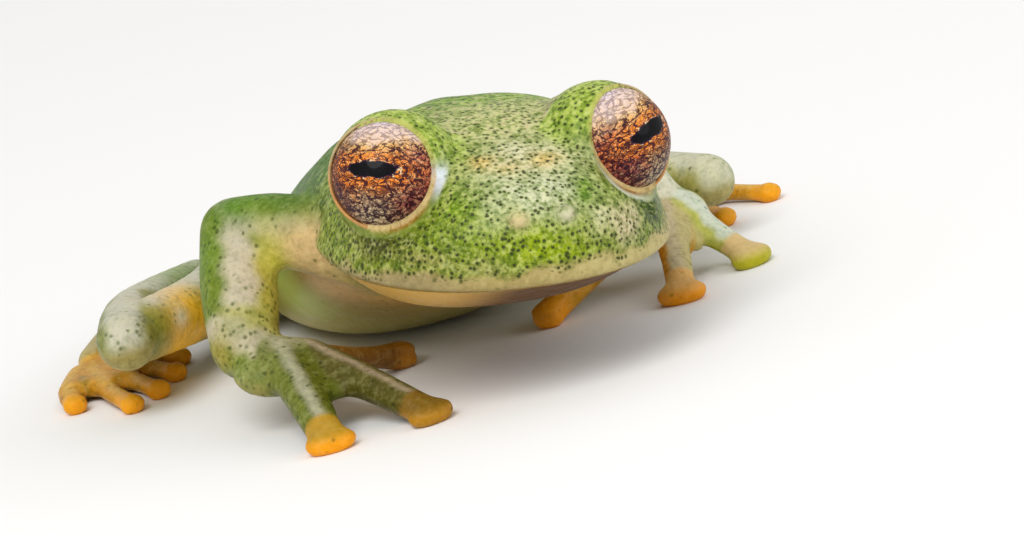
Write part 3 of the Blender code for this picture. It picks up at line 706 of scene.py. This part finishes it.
def paint_lids(tints, marks, points):
    """Yellow-green dotted upper lids and translucent lower ones."""
    for side, (corner_at, corner_width, corner_code) in LID_CORNERS.items():
        seen = seen_from(eye_matrix(side), points)
        out = np.hypot(seen[:, 0], seen[:, 1])
        near = fade(np.linalg.norm(seen, axis=1), 2.5, 2.1) * (seen[:, 2] > -0.8)
        angle = np.arctan2(seen[:, 1], -side * seen[:, 0])      # 0 towards the snout, up positive
        upper = fade(angle, -0.1, 0.5) * fade(angle, 3.1, 2.5)
        lay(tints, 'A0B640', near * upper * 0.85)
        edge_on = near * (seen[:, 2] > 0)
        lower = np.clip(fade(angle, 0.2, -0.3) + fade(angle, 2.6, 3.0), 0, 1)
        ring = edge_on * fade(out, 1.84, 1.64)
        lay(tints, '7C8C38', 0.85 * ring * lower)
        corner = edge_on * np.exp(-((angle - corner_at) / corner_width) ** 2) * fade(out, 1.9, 1.7)
        lay(tints, corner_code, 1.3 * corner)
        crescent = ring * np.exp(-((angle + 1.05) / 0.5) ** 2) * fade(out, 1.7, 1.56)
        lay(tints, '96621A', crescent)
        edge = edge_on * fade(out, 1.53, 1.49)
        lay(tints, 'D2B67C', edge * (0.3 + 0.7 * lower))
        clear = np.clip(ring * lower + corner + edge, 0, 1)
        marks[:, 0] *= 1 - clear
        marks[:, 1] *= 1 - 0.7 * clear
        marks[:, 2] *= 1 - near


# Colours of the limbs: top stripe, its half width, outer side, inner side, underside, dots
ARM_COLOURS = {
    'right': ('C6BAA6', 0.42, '6A7C1E', 'B8AE3C', 'A08E44', 0.45),
    'left': ('D0CCB8', 0.80, '8A9850', 'B4A868', 'A8A068', 0.05),
}
# The fingers' rows end with the colours of the disc and of its rim
FINGER_COLOURS = {
    'right': {'1': ('986010', 0.3, '84520A', '84520A', '784C08', 0.0, '9C640C', 'A86C08'),
              '2': ('986010', 0.3, '84520A', '84520A', '784C08', 0.0, '9C640C', 'A86C08'),
              '3': ('A4927A', 0.2, '524C10', '5A5212', '504A10', 0.05, '785A18', 'B07C14'),
              '4': ('A6A488', 0.28, '646C1C', '5C6214', '565810', 0.3, 'B08824', 'F09C08')},
    'left': {'1': ('C99740', 0.5, 'B88418', 'B88418', 'B88418', 0.0, 'CF9222', 'D68E10'),
             '2': ('D39A30', 0.5, 'C4870F', 'C4870F', 'B88418', 0.0, 'D58C12', 'DE8E0A'),
             '3': ('BCAE8C', 0.45, 'B4A670', 'D0860A', 'B88418', 0.0, 'D0A058', 'E08E06'),
             '4': ('C8CEC0', 0.6, 'C2C49C', 'B0B050', 'A8AC18', 0.0, 'CDB078', 'B2AC1C')},
}
# Web between the third and fourth finger, and the spot on it
WEB_COLOURS = {'right': ('565C10', 'A86C14'), 'left': ('B5A96A', None)}
# Hind feet: the webs, the toes, and the colours of a toe's disc and of its rim
TOE_WEB_COLOUR = 'A87F22'
TOE_COLOURS = ('D0A040', 0.5, 'C48A1C', 'C48A1C', 'C08A2C', 0.0)
TOE_DISC_COLOURS = ('DA9A20', 'EE9E0C')
LEG_COLOURS = {
    'right': {'thigh': ('C4C0AC', 0.6, '7A8034', '9C9440', 'A89658', 0.2),
              'shank': ('C4C0AC', 0.6, '7A8038', '8E8834', 'A09050', 0.25),
              'tarsus': ('B0A06C', 0.6, 'A8801C', 'B08622', 'B0842E', 0.1)},
    'left': {'thigh': ('C6C4AC', 0.7, '7E8E44', 'B0A860', 'B0A062', 0.2),
             'shank': ('C2C0A6', 0.7, '7E8E44', 'A09A4C', 'A89A5C', 0.2),
             'tarsus': ('B0A06C', 0.6, 'A8801C', 'B08622', 'B0842E', 0.1)},
}
# Patches of the limbs: place, size, colour, strength, dots
LIMB_PATCHES = (
    # Painted light: chest and belly under the right upper arm, made lighter against the arm's shade
    ((-3.8, -4.6, 3.2), (1.0, 1.5, 1.0), 'E4BA7C', 1.2, 0.0),
    ((-4.0, -1.5, 2.4), (0.8, 2.0, 1.4), 'AEBA58', 1.0, 0.0),
    ((-4.2, -4.2, 6.0), (1.4, 1.6, 0.80), '426808', 1.7, 0.05),
    ((-3.7, -5.0, 5.3), (0.9, 1.0, 0.60), '547610', 1.2, 0.1),
    ((-5.6, -3.5, 6.0), (1.1, 1.2, 0.55), '567C10', 1.2, 0.1),
    ((-4.3, -5.5, 4.4), (1.3, 1.0, 0.80), 'CDAE78', 1.5, 0.0),
    ((-6.8, -5.4, 2.9), (0.8, 0.5, 0.60), '9F9C6C', 1.0, 0.55),
    ((-6.9, -3.4, 4.9), (0.5, 1.0, 0.80), '668420', 0.9, 0.1),
    ((-7.5, -5.3, 2.3), (0.5, 0.6, 0.60), 'A08A30', 0.7, 0.3),
    ((-7.1, -6.5, 1.6), (0.7, 0.6, 0.60), '848648', 1.0, 0.3),
    # Right thigh by the knee: its orange, made brighter against the arm's shadow
    ((-6.6, 1.6, 1.7), (0.9, 1.9, 1.10), 'FFBE20', 1.7, 0.0),
    # Painted highlight in cream on that orange band
    ((-6.8, 0.9, 2.3), (0.35, 0.9, 0.3), 'FBE6C6', 1.0, 0.0),
    ((-7.9, -0.1, 2.2), (0.45, 0.6, 0.60), '8F8E38', 0.8, 0.1),
    # Yellow inner edge of the right upper arm, made lighter against its shade
    ((-5.1, -4.3, 4.0), (0.38, 0.8, 1.10), 'D2CA50', 1.1, 0.0),
    ((-5.7, -6.1, 2.35), (0.6, 0.45, 0.35), 'B4AC8C', 0.7, 0.2),
    ((-2.9, 8.6, 2.2), (2.0, 3.6, 1.40), '58801A', 0.9, 0.1),
    ((2.9, 8.6, 2.2), (2.0, 3.6, 1.40), '58801A', 0.9, 0.1),
    ((-4.8, 10.8, 1.4), (1.2, 2.8, 1.20), '76903C', 0.7, 0.1),
    ((4.8, 10.8, 1.4), (1.2, 2.8, 1.20), '76903C', 0.7, 0.1),
)


def paint_limb(tints, marks, points, keys, colours, outward, up, disc=None, narrow=0.3):
    """Stripe on top of a limb, greener outside, yellower inside.

    disc gives the tip's colour, its rim's colour and how far it reaches.
    """
    away, share, across, over = along_limb(points, keys, up, outward)
    near = fade(away, narrow, 0.06)
    if disc:
        tip_away = np.linalg.norm(points - np.array(keys[-1][:3]), axis=1)
        near = np.maximum(near, fade(tip_away, disc[2] + 0.35, disc[2] + 0.2))
    hit = near > 0
    stripe, width, outer, inner, below, dots = colours
    ripple = 0.14 * np.sin(share[hit] * 23.0) + 0.25 * wavering(points[hit], 0.9)
    side = across[hit] + ripple * width
    layer = np.tile(tone(below), (hit.sum(), 1))
    top = fade(over[hit], -0.45, 0.15)
    lay(layer, outer, top * fade(side, 0.05, 0.55))
    lay(layer, inner, top * fade(side, -0.05, -0.55))
    band = top * fade(abs(side), width + 0.22, width - 0.22)
    lay(layer, stripe, 0.92 * band)
    dotted = dots * top * (1 - 0.6 * band)
    mottling = np.full(len(dotted), 0.3)
    if disc:
        tip = fade(share[hit], 0.8, 0.98)
        tip = np.maximum(tip, fade(tip_away[hit], disc[2] + 0.1, disc[2] - 0.1))
        lay(layer, disc[0], tip)
        lay(layer, disc[1], tip * fade(points[hit, 2], 0.58, 0.2))
        dotted = dotted * (1 - tip)
        mottling -= 0.15 * tip
    weight = near[hit][:, None]
    tints[hit] += (layer - tints[hit]) * weight
    marks[hit, 0] += (dotted - marks[hit, 0]) * near[hit]
    marks[hit, 1] += (mottling - marks[hit, 1]) * near[hit]
    marks[hit, 2] *= 1 - near[hit]


def paint_web(tints, marks, points, rows, code, spot=None):
    """Thin skin between two digits."""
    middle = [(*((near + far) / 2), 0.8 * (near - far).length / 2)
              for near, far in (rows[0], rows[3], rows[-1])]
    away = along_limb(points, middle, (0, 0, 1), 1)[0]
    near = fade(away, 0.25, 0.0) * fade(points[:, 2], 2.4, 2.0)
    lay(tints, code, near)
    marks[:, 0] *= 1 - near
    if spot:
        lay(tints, spot, 0.8 * patch(points, middle[1][:3], (0.3, 0.3, 0.5)))


def paint_limbs(tints, marks, points):
    """All four limbs, digits last."""
    for side, arm in ARMS.items():
        outward = -1 if side == 'right' else 1
        colours = ARM_COLOURS[side]
        facing = (0.1 * outward, -0.95, 0.4)
        paint_limb(tints, marks, points, arm['upper'], colours, outward, facing, narrow=0.45)
        paint_limb(tints, marks, points, arm['fore'], colours, outward, facing, narrow=0.4)
        knuckles = [Vector(arm['fingers'][n][0][:3]) for n in '34']
        middle = (knuckles[0] + knuckles[1]) / 2 + Vector((0, -0.5, -0.1))
        palm = (arm['fore'][-1], (*middle, 1.0))
        paint_limb(tints, marks, points, palm, colours, outward, facing, narrow=0.35)
        rows = web_line(arm['fingers']['3'], arm['fingers']['4'], FINGER_WEB_REACH)
        paint_web(tints, marks, points, rows, *WEB_COLOURS[side])
        for number, keys in arm['fingers'].items():
            *colours_of, tip_colour, rim_colour = FINGER_COLOURS[side][number]
            reach = DISC_SIZE[0] if number in '34' else INNER_DISC_SIZE[0]
            paint_limb(tints, marks, points, keys, colours_of, outward, (0, 0, 1),
                       (tip_colour, rim_colour, reach), 0.25)
    for side, leg in LEGS.items():
        outward = -1 if side == 'right' else 1
        for name in ('thigh', 'shank', 'tarsus'):
            paint_limb(tints, marks, points, leg[name], LEG_COLOURS[side][name], outward, (0, 0, 1),
                       narrow=0.35)
        paths = [toe_keys(leg, index) for index in range(5)]
        for first, second in zip(paths, paths[1:]):
            paint_web(tints, marks, points, web_line(first, second, TOE_WEB_REACH), TOE_WEB_COLOUR)
        for keys in paths:
            paint_limb(tints, marks, points, keys, TOE_COLOURS, outward, (0, 0, 1),
                       (*TOE_DISC_COLOURS, TOE_DISC_SIZE[0]), 0.2)
    for centre, size, code, strength, dotted in LIMB_PATCHES:
        share = np.clip(strength * patch(points, centre, size), 0, 1)
        lay(tints, code, share)
        marks[:, 0] += (dotted - marks[:, 0]) * share


def paint_skin(body):
    """Writes the markings to the skin: its tints, and where dots, mottling and streaks go."""
    mesh = body.data
    points, normals = points_of(mesh), normals_of(mesh)
    waver = wavering(points, 0.8)
    tints, marks = np.zeros_like(points), np.zeros_like(points)
    seen = seen_from(head_matrix(), points)
    paint_trunk(tints, marks, points, normals, waver)
    paint_head(tints, marks, seen, waver)
    paint_nostrils(tints, marks, seen)
    paint_lids(tints, marks, points)
    paint_limbs(tints, marks, points)
    for name, values in (('tint', tints), ('marks', marks)):
        layer = mesh.color_attributes.new(name, 'FLOAT_COLOR', 'POINT')
        layer.data.foreach_set('color', np.column_stack((values, np.ones(len(values)))).ravel())


# Materials

def set_inputs(tree, node, inputs):
    """Sets a node's inputs to plain values, or links them to other nodes' outputs."""
    for name, value in inputs.items():
        socket = node.inputs[name]
        if isinstance(value, bpy.types.NodeSocket):
            tree.links.new(value, socket)
        else:
            socket.default_value = value


def add_node(tree, kind, inputs=None, **settings):
    """Node with its settings and its inputs."""
    node = tree.nodes.new(kind)
    for key, value in settings.items():
        setattr(node, key, value)
    set_inputs(tree, node, inputs or {})
    return node


def math_node(tree, operation, first, second=0.0, third=None):
    """Output of a sum on up to three values."""
    values = {0: first, 1: second}
    if third is not None:
        values[2] = third
    return add_node(tree, 'ShaderNodeMath', values, operation=operation).outputs[0]


def times(tree, first, second):
    """Product of two values."""
    return math_node(tree, 'MULTIPLY', first, second)


def smooth_range(tree, value, low, high, start=0.0, end=1.0):
    """Value brought smoothly from low..high to start..end."""
    inputs = {'Value': value, 'From Min': low, 'From Max': high, 'To Min': start, 'To Max': end}
    return add_node(tree, 'ShaderNodeMapRange', inputs, interpolation_type='SMOOTHSTEP').outputs['Result']


def mix_colours(tree, share, first, second, how='MIX'):
    """Second colour over the first by share. Hex codes stand for plain colours."""
    node = add_node(tree, 'ShaderNodeMix', {0: share}, data_type='RGBA', blend_type=how)
    for index, colour in ((6, first), (7, second)):
        if isinstance(colour, str):
            node.inputs[index].default_value = (*tone(colour), 1.0)
        else:
            tree.links.new(colour, node.inputs[index])
    return node.outputs[2]


def noise_node(tree, places, scale, detail=3.0, roughness=0.55):
    """Cloudy noise at scale features to the millimetre."""
    return add_node(tree, 'ShaderNodeTexNoise', {'Vector': places, 'Scale': scale, 'Detail': detail,
                                                 'Roughness': roughness})


def vector_math(tree, operation, first, second):
    """Output of a sum on two vectors."""
    node = add_node(tree, 'ShaderNodeVectorMath', {0: first, 1: second}, operation=operation)
    return node.outputs[0]


def in_millimetres(tree):
    """The piece's own places, in millimetres."""
    coordinates = tree.nodes.new('ShaderNodeTexCoord').outputs['Object']
    return vector_math(tree, 'MULTIPLY', coordinates, (1 / MM,) * 3)


def new_material(name):
    """Material with an empty node tree but for its shader, which it returns with the tree."""
    material = bpy.data.materials.new(name)
    material.use_nodes = True
    tree = material.node_tree
    return material, tree, tree.nodes['Principled BSDF']


def new_group(name, inputs, outputs):
    """Node group with named sockets, with what it is given and where its results go."""
    group = bpy.data.node_groups.new(name, 'ShaderNodeTree')
    for label, kind in inputs.items():
        group.interface.new_socket(label, in_out='INPUT', socket_type='NodeSocket' + kind)
    for label, kind in outputs.items():
        group.interface.new_socket(label, in_out='OUTPUT', socket_type='NodeSocket' + kind)
    given = group.nodes.new('NodeGroupInput').outputs
    result = group.nodes.new('NodeGroupOutput').inputs
    return group, given, result


def mottle_group():
    """Node group: masks of the light and the dark side of fine cloudy mottling."""
    group, given, result = new_group('fine_mottle', {'Places': 'Vector', 'Scale': 'Float'},
                                     {'Light': 'Float', 'Dark': 'Float', 'Cloud': 'Float'})
    cloud = noise_node(group, given['Places'], given['Scale'], 4.0, 0.62).outputs[0]
    group.links.new(smooth_range(group, cloud, 0.5, 0.64), result['Light'])
    group.links.new(smooth_range(group, cloud, 0.5, 0.36), result['Dark'])
    group.links.new(cloud, result['Cloud'])
    return group


def shake_group():
    """Node group: places moved about by noise, so that edges drawn with them waver."""
    group, given, result = new_group('shaken_places',
                                     {'Places': 'Vector', 'Scale': 'Float', 'Reach': 'Float'},
                                     {'Places': 'Vector'})
    cloud = noise_node(group, given['Places'], given['Scale'], 2.0).outputs['Color']
    centred = vector_math(group, 'SUBTRACT', cloud, (0.5,) * 3)
    moved = add_node(group, 'ShaderNodeVectorMath',
                     {0: centred, 'Scale': times(group, given['Reach'], 2.0)}, operation='SCALE')
    group.links.new(vector_math(group, 'ADD', given['Places'], moved.outputs[0]), result['Places'])
    return group


def mottle(tree, places, scale):
    """Light mask, dark mask and cloud of the shared mottling."""
    group = bpy.data.node_groups.get('fine_mottle') or mottle_group()
    return add_node(tree, 'ShaderNodeGroup', {'Places': places, 'Scale': scale}, node_tree=group).outputs


def shaken(tree, places, scale, reach):
    """Places moved about by the shared noise, by up to reach in millimetres."""
    group = bpy.data.node_groups.get('shaken_places') or shake_group()
    node = add_node(tree, 'ShaderNodeGroup', {'Places': places, 'Scale': scale, 'Reach': reach},
                    node_tree=group)
    return node.outputs['Places']


# Dots of the skin: how close, least size and its spread in cells, and how ragged in millimetres
DOTS_PER_MM = 6.4
DOT_SIZE, DOT_SPREAD = 0.262, 0.11
DOT_RAGGED = 0.03
# Mottling of the skin: fineness, side of the cloud, strength
BROAD, FINE, GRAIN = 1.5, 3.6, 8.0
SKIN_MOTTLES = ((BROAD, 'Dark', 0.35), (FINE, 'Light', 0.7), (FINE, 'Dark', 0.75),
                (GRAIN, 'Light', 0.55), (GRAIN, 'Dark', 0.6))
GRANULES_PER_MM = 5.2


def dot_mask(tree, places, density):
    """Irregular dots, of which density (0 to 1) says how many show, and the shade round them."""
    cells = add_node(tree, 'ShaderNodeTexVoronoi',
                     {'Vector': shaken(tree, places, DOTS_PER_MM * 2.6, DOT_RAGGED),
                      'Scale': DOTS_PER_MM})
    random = add_node(tree, 'ShaderNodeSeparateColor', {0: cells.outputs['Color']})
    distance = cells.outputs['Distance']
    reach = math_node(tree, 'MULTIPLY_ADD', random.outputs[0], DOT_SPREAD, DOT_SIZE)
    shape = smooth_range(tree, math_node(tree, 'SUBTRACT', reach, distance), -0.02, 0.08)
    shown = smooth_range(tree, math_node(tree, 'SUBTRACT', density, random.outputs[1]), -0.06, 0.02)
    shade = smooth_range(tree, distance, 0.62, 0.3)
    return times(tree, shape, shown), times(tree, shade, shown)


def skin_material():
    """Thin moist skin: the tints, mottled, with dark dots and fine granules."""
    material, tree, shader = new_material('frog_skin')
    places = in_millimetres(tree)
    tint = add_node(tree, 'ShaderNodeAttribute', attribute_name='tint').outputs['Color']
    marks = add_node(tree, 'ShaderNodeAttribute', attribute_name='marks').outputs['Color']
    dotted, mottled, streaked = add_node(tree, 'ShaderNodeSeparateColor', {0: marks}).outputs
    deep = mix_colours(tree, 1.0, tint, '86A048', 'MULTIPLY')
    pale = mix_colours(tree, 0.4, tint, 'DFDF9A')

    clouds = {scale: mottle(tree, places, scale) for scale in (BROAD, FINE, GRAIN)}
    colour = tint
    for scale, side, amount in SKIN_MOTTLES:
        share = times(tree, times(tree, clouds[scale][side], amount), mottled)
        colour = mix_colours(tree, share, colour, deep if side == 'Dark' else pale)
    share = times(tree, times(tree, clouds[FINE]['Light'], 0.55), streaked)
    colour = mix_colours(tree, share, colour, 'B9A583')

    dots, shade = dot_mask(tree, places, dotted)
    colour = mix_colours(tree, times(tree, shade, 0.5), colour, deep)
    strength = smooth_range(tree, dotted, 0.45, 0.95, 0.42, 0.86)
    colour = mix_colours(tree, times(tree, dots, strength), colour, '2E3014')

    granules = add_node(tree, 'ShaderNodeTexVoronoi', {'Vector': places, 'Scale': GRANULES_PER_MM},
                        feature='SMOOTH_F1')
    height = math_node(tree, 'MULTIPLY_ADD', granules.outputs['Distance'], -0.8, clouds[FINE]['Cloud'])
    bump = add_node(tree, 'ShaderNodeBump', {'Strength': 0.7, 'Distance': 0.05 * MM, 'Height': height})
    set_inputs(tree, shader, {
        'Base Color': colour,
        'Roughness': smooth_range(tree, clouds[BROAD]['Cloud'], 0.3, 0.7, 0.36, 0.5),
        'Specular IOR Level': 0.16,
        'Subsurface Weight': 0.15,
        'Subsurface Radius': (1.0, 0.9, 0.4),
        'Subsurface Scale': 0.3 * MM,
        'Normal': bump.outputs[0]})
    return material


# Colours of the iris from below to above: share of the way up, colour
IRIS_BANDS = ((0.0, 'C4B294'), (0.2, 'BC9A76'), (0.34, 'C87E34'), (0.46, 'EE7E1A'), (0.58, 'F29A2C'),
              (0.72, 'ECBA74'), (0.84, 'E2C4B2'), (1.0, 'DACAD4'))
IRIS_BAND_SLOPE = 0.34
# Flakes of the iris to the millimetre, between its wide and its fine lines, and how they stretch
FLAKES, FINE_FLAKES = 4.4, 9.5
FLAKE_STRETCH = (0.8, 1.25, 1.0)
# Powers of the pupil's outline along and across it: above 2 its ends are blunt
PUPIL_POWERS = (2.4, 2.0)


def iris_ground(tree, height, wander):
    """Level bands of colour, redder towards the nose and browner away from it."""
    level = math_node(tree, 'MULTIPLY_ADD', height, IRIS_BAND_SLOPE, 0.5)
    bands = add_node(tree, 'ShaderNodeValToRGB', {0: level})
    ramp = bands.color_ramp
    while len(ramp.elements) < len(IRIS_BANDS):
        ramp.elements.new(0.5)
    for element, (position, code) in zip(ramp.elements, IRIS_BANDS):
        element.position = position
        element.color = (*tone(code), 1.0)
    noseward = add_node(tree, 'ShaderNodeAttribute', attribute_name='noseward').outputs['Fac']
    towards_nose = math_node(tree, 'MULTIPLY_ADD', wander, 1.2, noseward)
    low = smooth_range(tree, height, 1.0, 0.3)
    red = times(tree, smooth_range(tree, towards_nose, 0.2, 1.1, 0.0, 0.8), low)
    brown = times(tree, smooth_range(tree, towards_nose, -0.3, -1.0, 0.0, 0.9), low)
    colour = mix_colours(tree, red, bands.outputs[0], 'B04A50')
    return mix_colours(tree, brown, colour, '7C3618')


def pupil_distance(tree, places, x, y):
    """Distance from the pupil's middle, 1 at its wavy edge."""
    terms = []
    for value, offset, size, power in zip((x, y), PUPIL_OFFSET, PUPIL_SIZE, PUPIL_POWERS):
        way = math_node(tree, 'DIVIDE', math_node(tree, 'SUBTRACT', value, offset), size)
        terms.append(math_node(tree, 'POWER', math_node(tree, 'ABSOLUTE', way), power))
    ripple = math_node(tree, 'SUBTRACT', noise_node(tree, places, 4.5, 3.0).outputs[0], 0.5)
    return math_node(tree, 'ADD', math_node(tree, 'SQRT', math_node(tree, 'ADD', *terms)), ripple)


def iris_net(tree, places, height):
    """Dark net over the iris, fainter above, and the mottling of its flakes."""
    stretched = vector_math(tree, 'MULTIPLY', places, FLAKE_STRETCH)
    bent = shaken(tree, shaken(tree, stretched, 2.6, 0.24), 8.0, 0.09)
    wide, fine = (add_node(tree, 'ShaderNodeTexVoronoi', {'Vector': bent, 'Scale': scale},
                           feature='DISTANCE_TO_EDGE').outputs['Distance']
                  for scale in (FLAKES, FINE_FLAKES))
    flecks = mottle(tree, bent, 7.5)
    cloud = math_node(tree, 'SUBTRACT', flecks['Cloud'], 0.5)
    lines = times(tree, smooth_range(tree, math_node(tree, 'MULTIPLY_ADD', cloud, 0.5, wide), 0.15, 0.06),
                  smooth_range(tree, height, 1.0, 0.55, 0.55, 1.0))
    fine_lines = times(tree, smooth_range(tree, fine, 0.16, 0.04),
                       smooth_range(tree, height, 1.0, 0.3, 0.12, 0.85))
    blotches = times(tree, flecks['Dark'], smooth_range(tree, height, 1.0, 0.0, 0.25, 0.85))
    dark = math_node(tree, 'MAXIMUM', lines, math_node(tree, 'MAXIMUM', fine_lines, blotches))
    return dark, flecks


def iris_material():
    """Golden flakes on a dark net, orange round a dark pupil with a pale broken rim."""
    material, tree, shader = new_material('iris')
    places = in_millimetres(tree)
    x, y = add_node(tree, 'ShaderNodeSeparateXYZ', {0: places}).outputs[:2]
    wander = math_node(tree, 'SUBTRACT', noise_node(tree, places, 2.2, 3.0).outputs[0], 0.5)
    height = math_node(tree, 'MULTIPLY_ADD', wander, 1.1, y)
    away = pupil_distance(tree, places, x, y)
    dark, flecks = iris_net(tree, places, height)
    level = add_node(tree, 'ShaderNodeCombineXYZ', {0: x, 1: y}).outputs[0]
    out = add_node(tree, 'ShaderNodeVectorMath', {0: level}, operation='LENGTH').outputs['Value']
    rim = times(tree, smooth_range(tree, away, 1.3, 1.15), smooth_range(tree, flecks['Cloud'], 0.5, 0.56))

    colour = iris_ground(tree, height, wander)
    for share, code in (
            (times(tree, smooth_range(tree, away, 3.3, 1.4), 0.9), 'FA8A12'),
            (times(tree, flecks['Light'], 0.34), 'FADCA6'),
            (times(tree, dark, 0.96), '2A0A1E'),
            (smooth_range(tree, out, 1.34, 1.44, 0.0, 0.85), '6A3418'),
            (rim, 'F2D2A4'),
            (smooth_range(tree, away, 1.2, 1.04), '220A28'),
            (smooth_range(tree, away, 1.04, 0.94), '020105')):
        colour = mix_colours(tree, share, colour, code)
    bump = add_node(tree, 'ShaderNodeBump', {'Strength': 0.35, 'Distance': 0.02 * MM,
                                             'Height': times(tree, dark, -1.0)})
    set_inputs(tree, shader, {
        'Base Color': colour,
        'Roughness': 0.45,
        'Specular IOR Level': 0.08,
        'Coat Weight': 0.12,
        'Coat Roughness': 0.06,
        'Normal': bump.outputs[0]})
    return material


def lid_edge_material():
    """Olive-cream edge of the lids, more orange below."""
    material, tree, shader = new_material('lid_edge')
    places = in_millimetres(tree)
    y = add_node(tree, 'ShaderNodeSeparateXYZ', {0: places}).outputs[1]
    flecks = mottle(tree, places, 3.0)
    level = math_node(tree, 'ADD', y, math_node(tree, 'SUBTRACT', flecks['Cloud'], 0.5))
    colour = mix_colours(tree, smooth_range(tree, level, 0.4, -0.8), 'B4A072', 'C08844')
    set_inputs(tree, shader, {
        'Base Color': mix_colours(tree, times(tree, flecks['Dark'], 0.4), colour, '8E6A34'),
        'Roughness': 0.35,
        'Subsurface Weight': 0.2,
        'Subsurface Radius': (1.0, 0.7, 0.4),
        'Subsurface Scale': 0.2 * MM})
    return material


def floor_material():
    """Plain pale matt floor."""
    material, tree, shader = new_material('pale_floor')
    cloud = mottle(tree, in_millimetres(tree), 0.02)['Cloud']
    set_inputs(tree, shader, {'Base Color': mix_colours(tree, cloud, 'EFEEEC', 'F3F2F0'), 'Roughness': 0.85})
    return material


# Eyes, camera and studio

def build_eye(side, label, finishes):
    """Eyeball with its iris, and the cream edge of the lids around it."""
    ball = bmesh.new()
    bmesh.ops.create_uvsphere(ball, u_segments=96, v_segments=64, radius=EYE_RADIUS)
    ball_faces = len(ball.faces)
    add_hoop(ball, Matrix.Identity(4), LID_RING, LID_RING_THICK, LID_RING_DEPTH)
    for index, face in enumerate(ball.faces):
        face.smooth = True
        face.material_index = 0 if index < ball_faces else 1
    noseward = [-side * vertex.co.x for vertex in ball.verts]
    for vertex in ball.verts:
        vertex.co *= MM
    eye = new_object('eyeball_' + label, ball)
    eye.data.attributes.new('noseward', 'FLOAT', 'POINT').data.foreach_set('value', noseward)
    for material in finishes:
        eye.data.materials.append(material)
    turned = eye_matrix(side) @ Matrix.Rotation(PUPIL_TILT[side], 4, 'Z')
    eye.matrix_world = (Matrix.Translation((SHIFT + turned.translation) * MM)
                        @ turned.to_quaternion().to_matrix().to_4x4())
    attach(eye, 'root')
    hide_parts('eye_' + label)


def add_camera():
    """Camera at the photograph's angle, tilt and framing."""
    level = Vector((math.cos(CAMERA_AZIMUTH), math.sin(CAMERA_AZIMUTH), 0))
    ahead = Vector((-level.y, level.x, 0))
    forward = ahead * math.cos(CAMERA_ELEVATION) - Vector((0, 0, math.sin(CAMERA_ELEVATION)))
    upward = level.cross(forward)
    right = level * math.cos(CAMERA_ROLL) - upward * math.sin(CAMERA_ROLL)
    up = level * math.sin(CAMERA_ROLL) + upward * math.cos(CAMERA_ROLL)
    across = (HEAD_PIXEL[0] - PICTURE_WIDTH / 2) / PIXELS_PER_MM
    above = (PICTURE_HEIGHT / 2 - HEAD_PIXEL[1]) / PIXELS_PER_MM
    spot = HEAD_AT + SHIFT - right * across - up * above - forward * CAMERA_DISTANCE
    turn = Matrix((right, up, -forward)).transposed().to_4x4()
    data = bpy.data.cameras.new('camera')
    data.sensor_width = SENSOR_WIDTH
    data.lens = PIXELS_PER_MM * SENSOR_WIDTH / PICTURE_WIDTH * CAMERA_DISTANCE
    data.clip_start, data.clip_end = 10 * MM, 10.0
    camera = bpy.data.objects.new('camera', data)
    camera.matrix_world = Matrix.Translation(spot * MM) @ turn
    bpy.context.scene.collection.objects.link(camera)
    bpy.context.scene.camera = camera


def add_light(name, place, size, power):
    """Large soft light at place, in millimetres, that faces the frog."""
    data = bpy.data.lights.new(name, 'AREA')
    data.shape = 'DISK'
    data.size = size * MM
    data.energy = power
    light = bpy.data.objects.new(name, data)
    light.location = Vector(place) * MM
    light.rotation_euler = (-Vector(place)).to_track_quat('-Z', 'Y').to_euler()
    bpy.context.scene.collection.objects.link(light)


def add_studio():
    """Pale floor, pale surroundings and soft lights."""
    bm = bmesh.new()
    bmesh.ops.create_grid(bm, x_segments=1, y_segments=1, size=2.0)
    floor = new_object('floor', bm)
    floor.data.materials.append(floor_material())
    world = bpy.data.worlds.new('studio')
    world.use_nodes = True
    background = world.node_tree.nodes['Background']
    background.inputs[0].default_value = (1.0, 1.0, 1.0, 1.0)
    background.inputs[1].default_value = SURROUNDINGS
    bpy.context.scene.world = world
    for name, (place, width, power) in LAMPS.items():
        add_light(name, place, width, power)
    bpy.context.scene.view_settings.view_transform = 'Standard'


def main():
    """Builds the frog, its camera and its studio."""
    skin = build_skin()
    paint_skin(skin)
    skin.data.transform(TO_MODEL)
    skin.data.materials.append(skin_material())
    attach(skin, 'root')
    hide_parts(*[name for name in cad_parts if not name.startswith('eye_')])
    finishes = (iris_material(), lid_edge_material())
    for side, label in ((-1, 'right'), (1, 'left')):
        build_eye(side, label, finishes)
    add_camera()
    add_studio()


main()
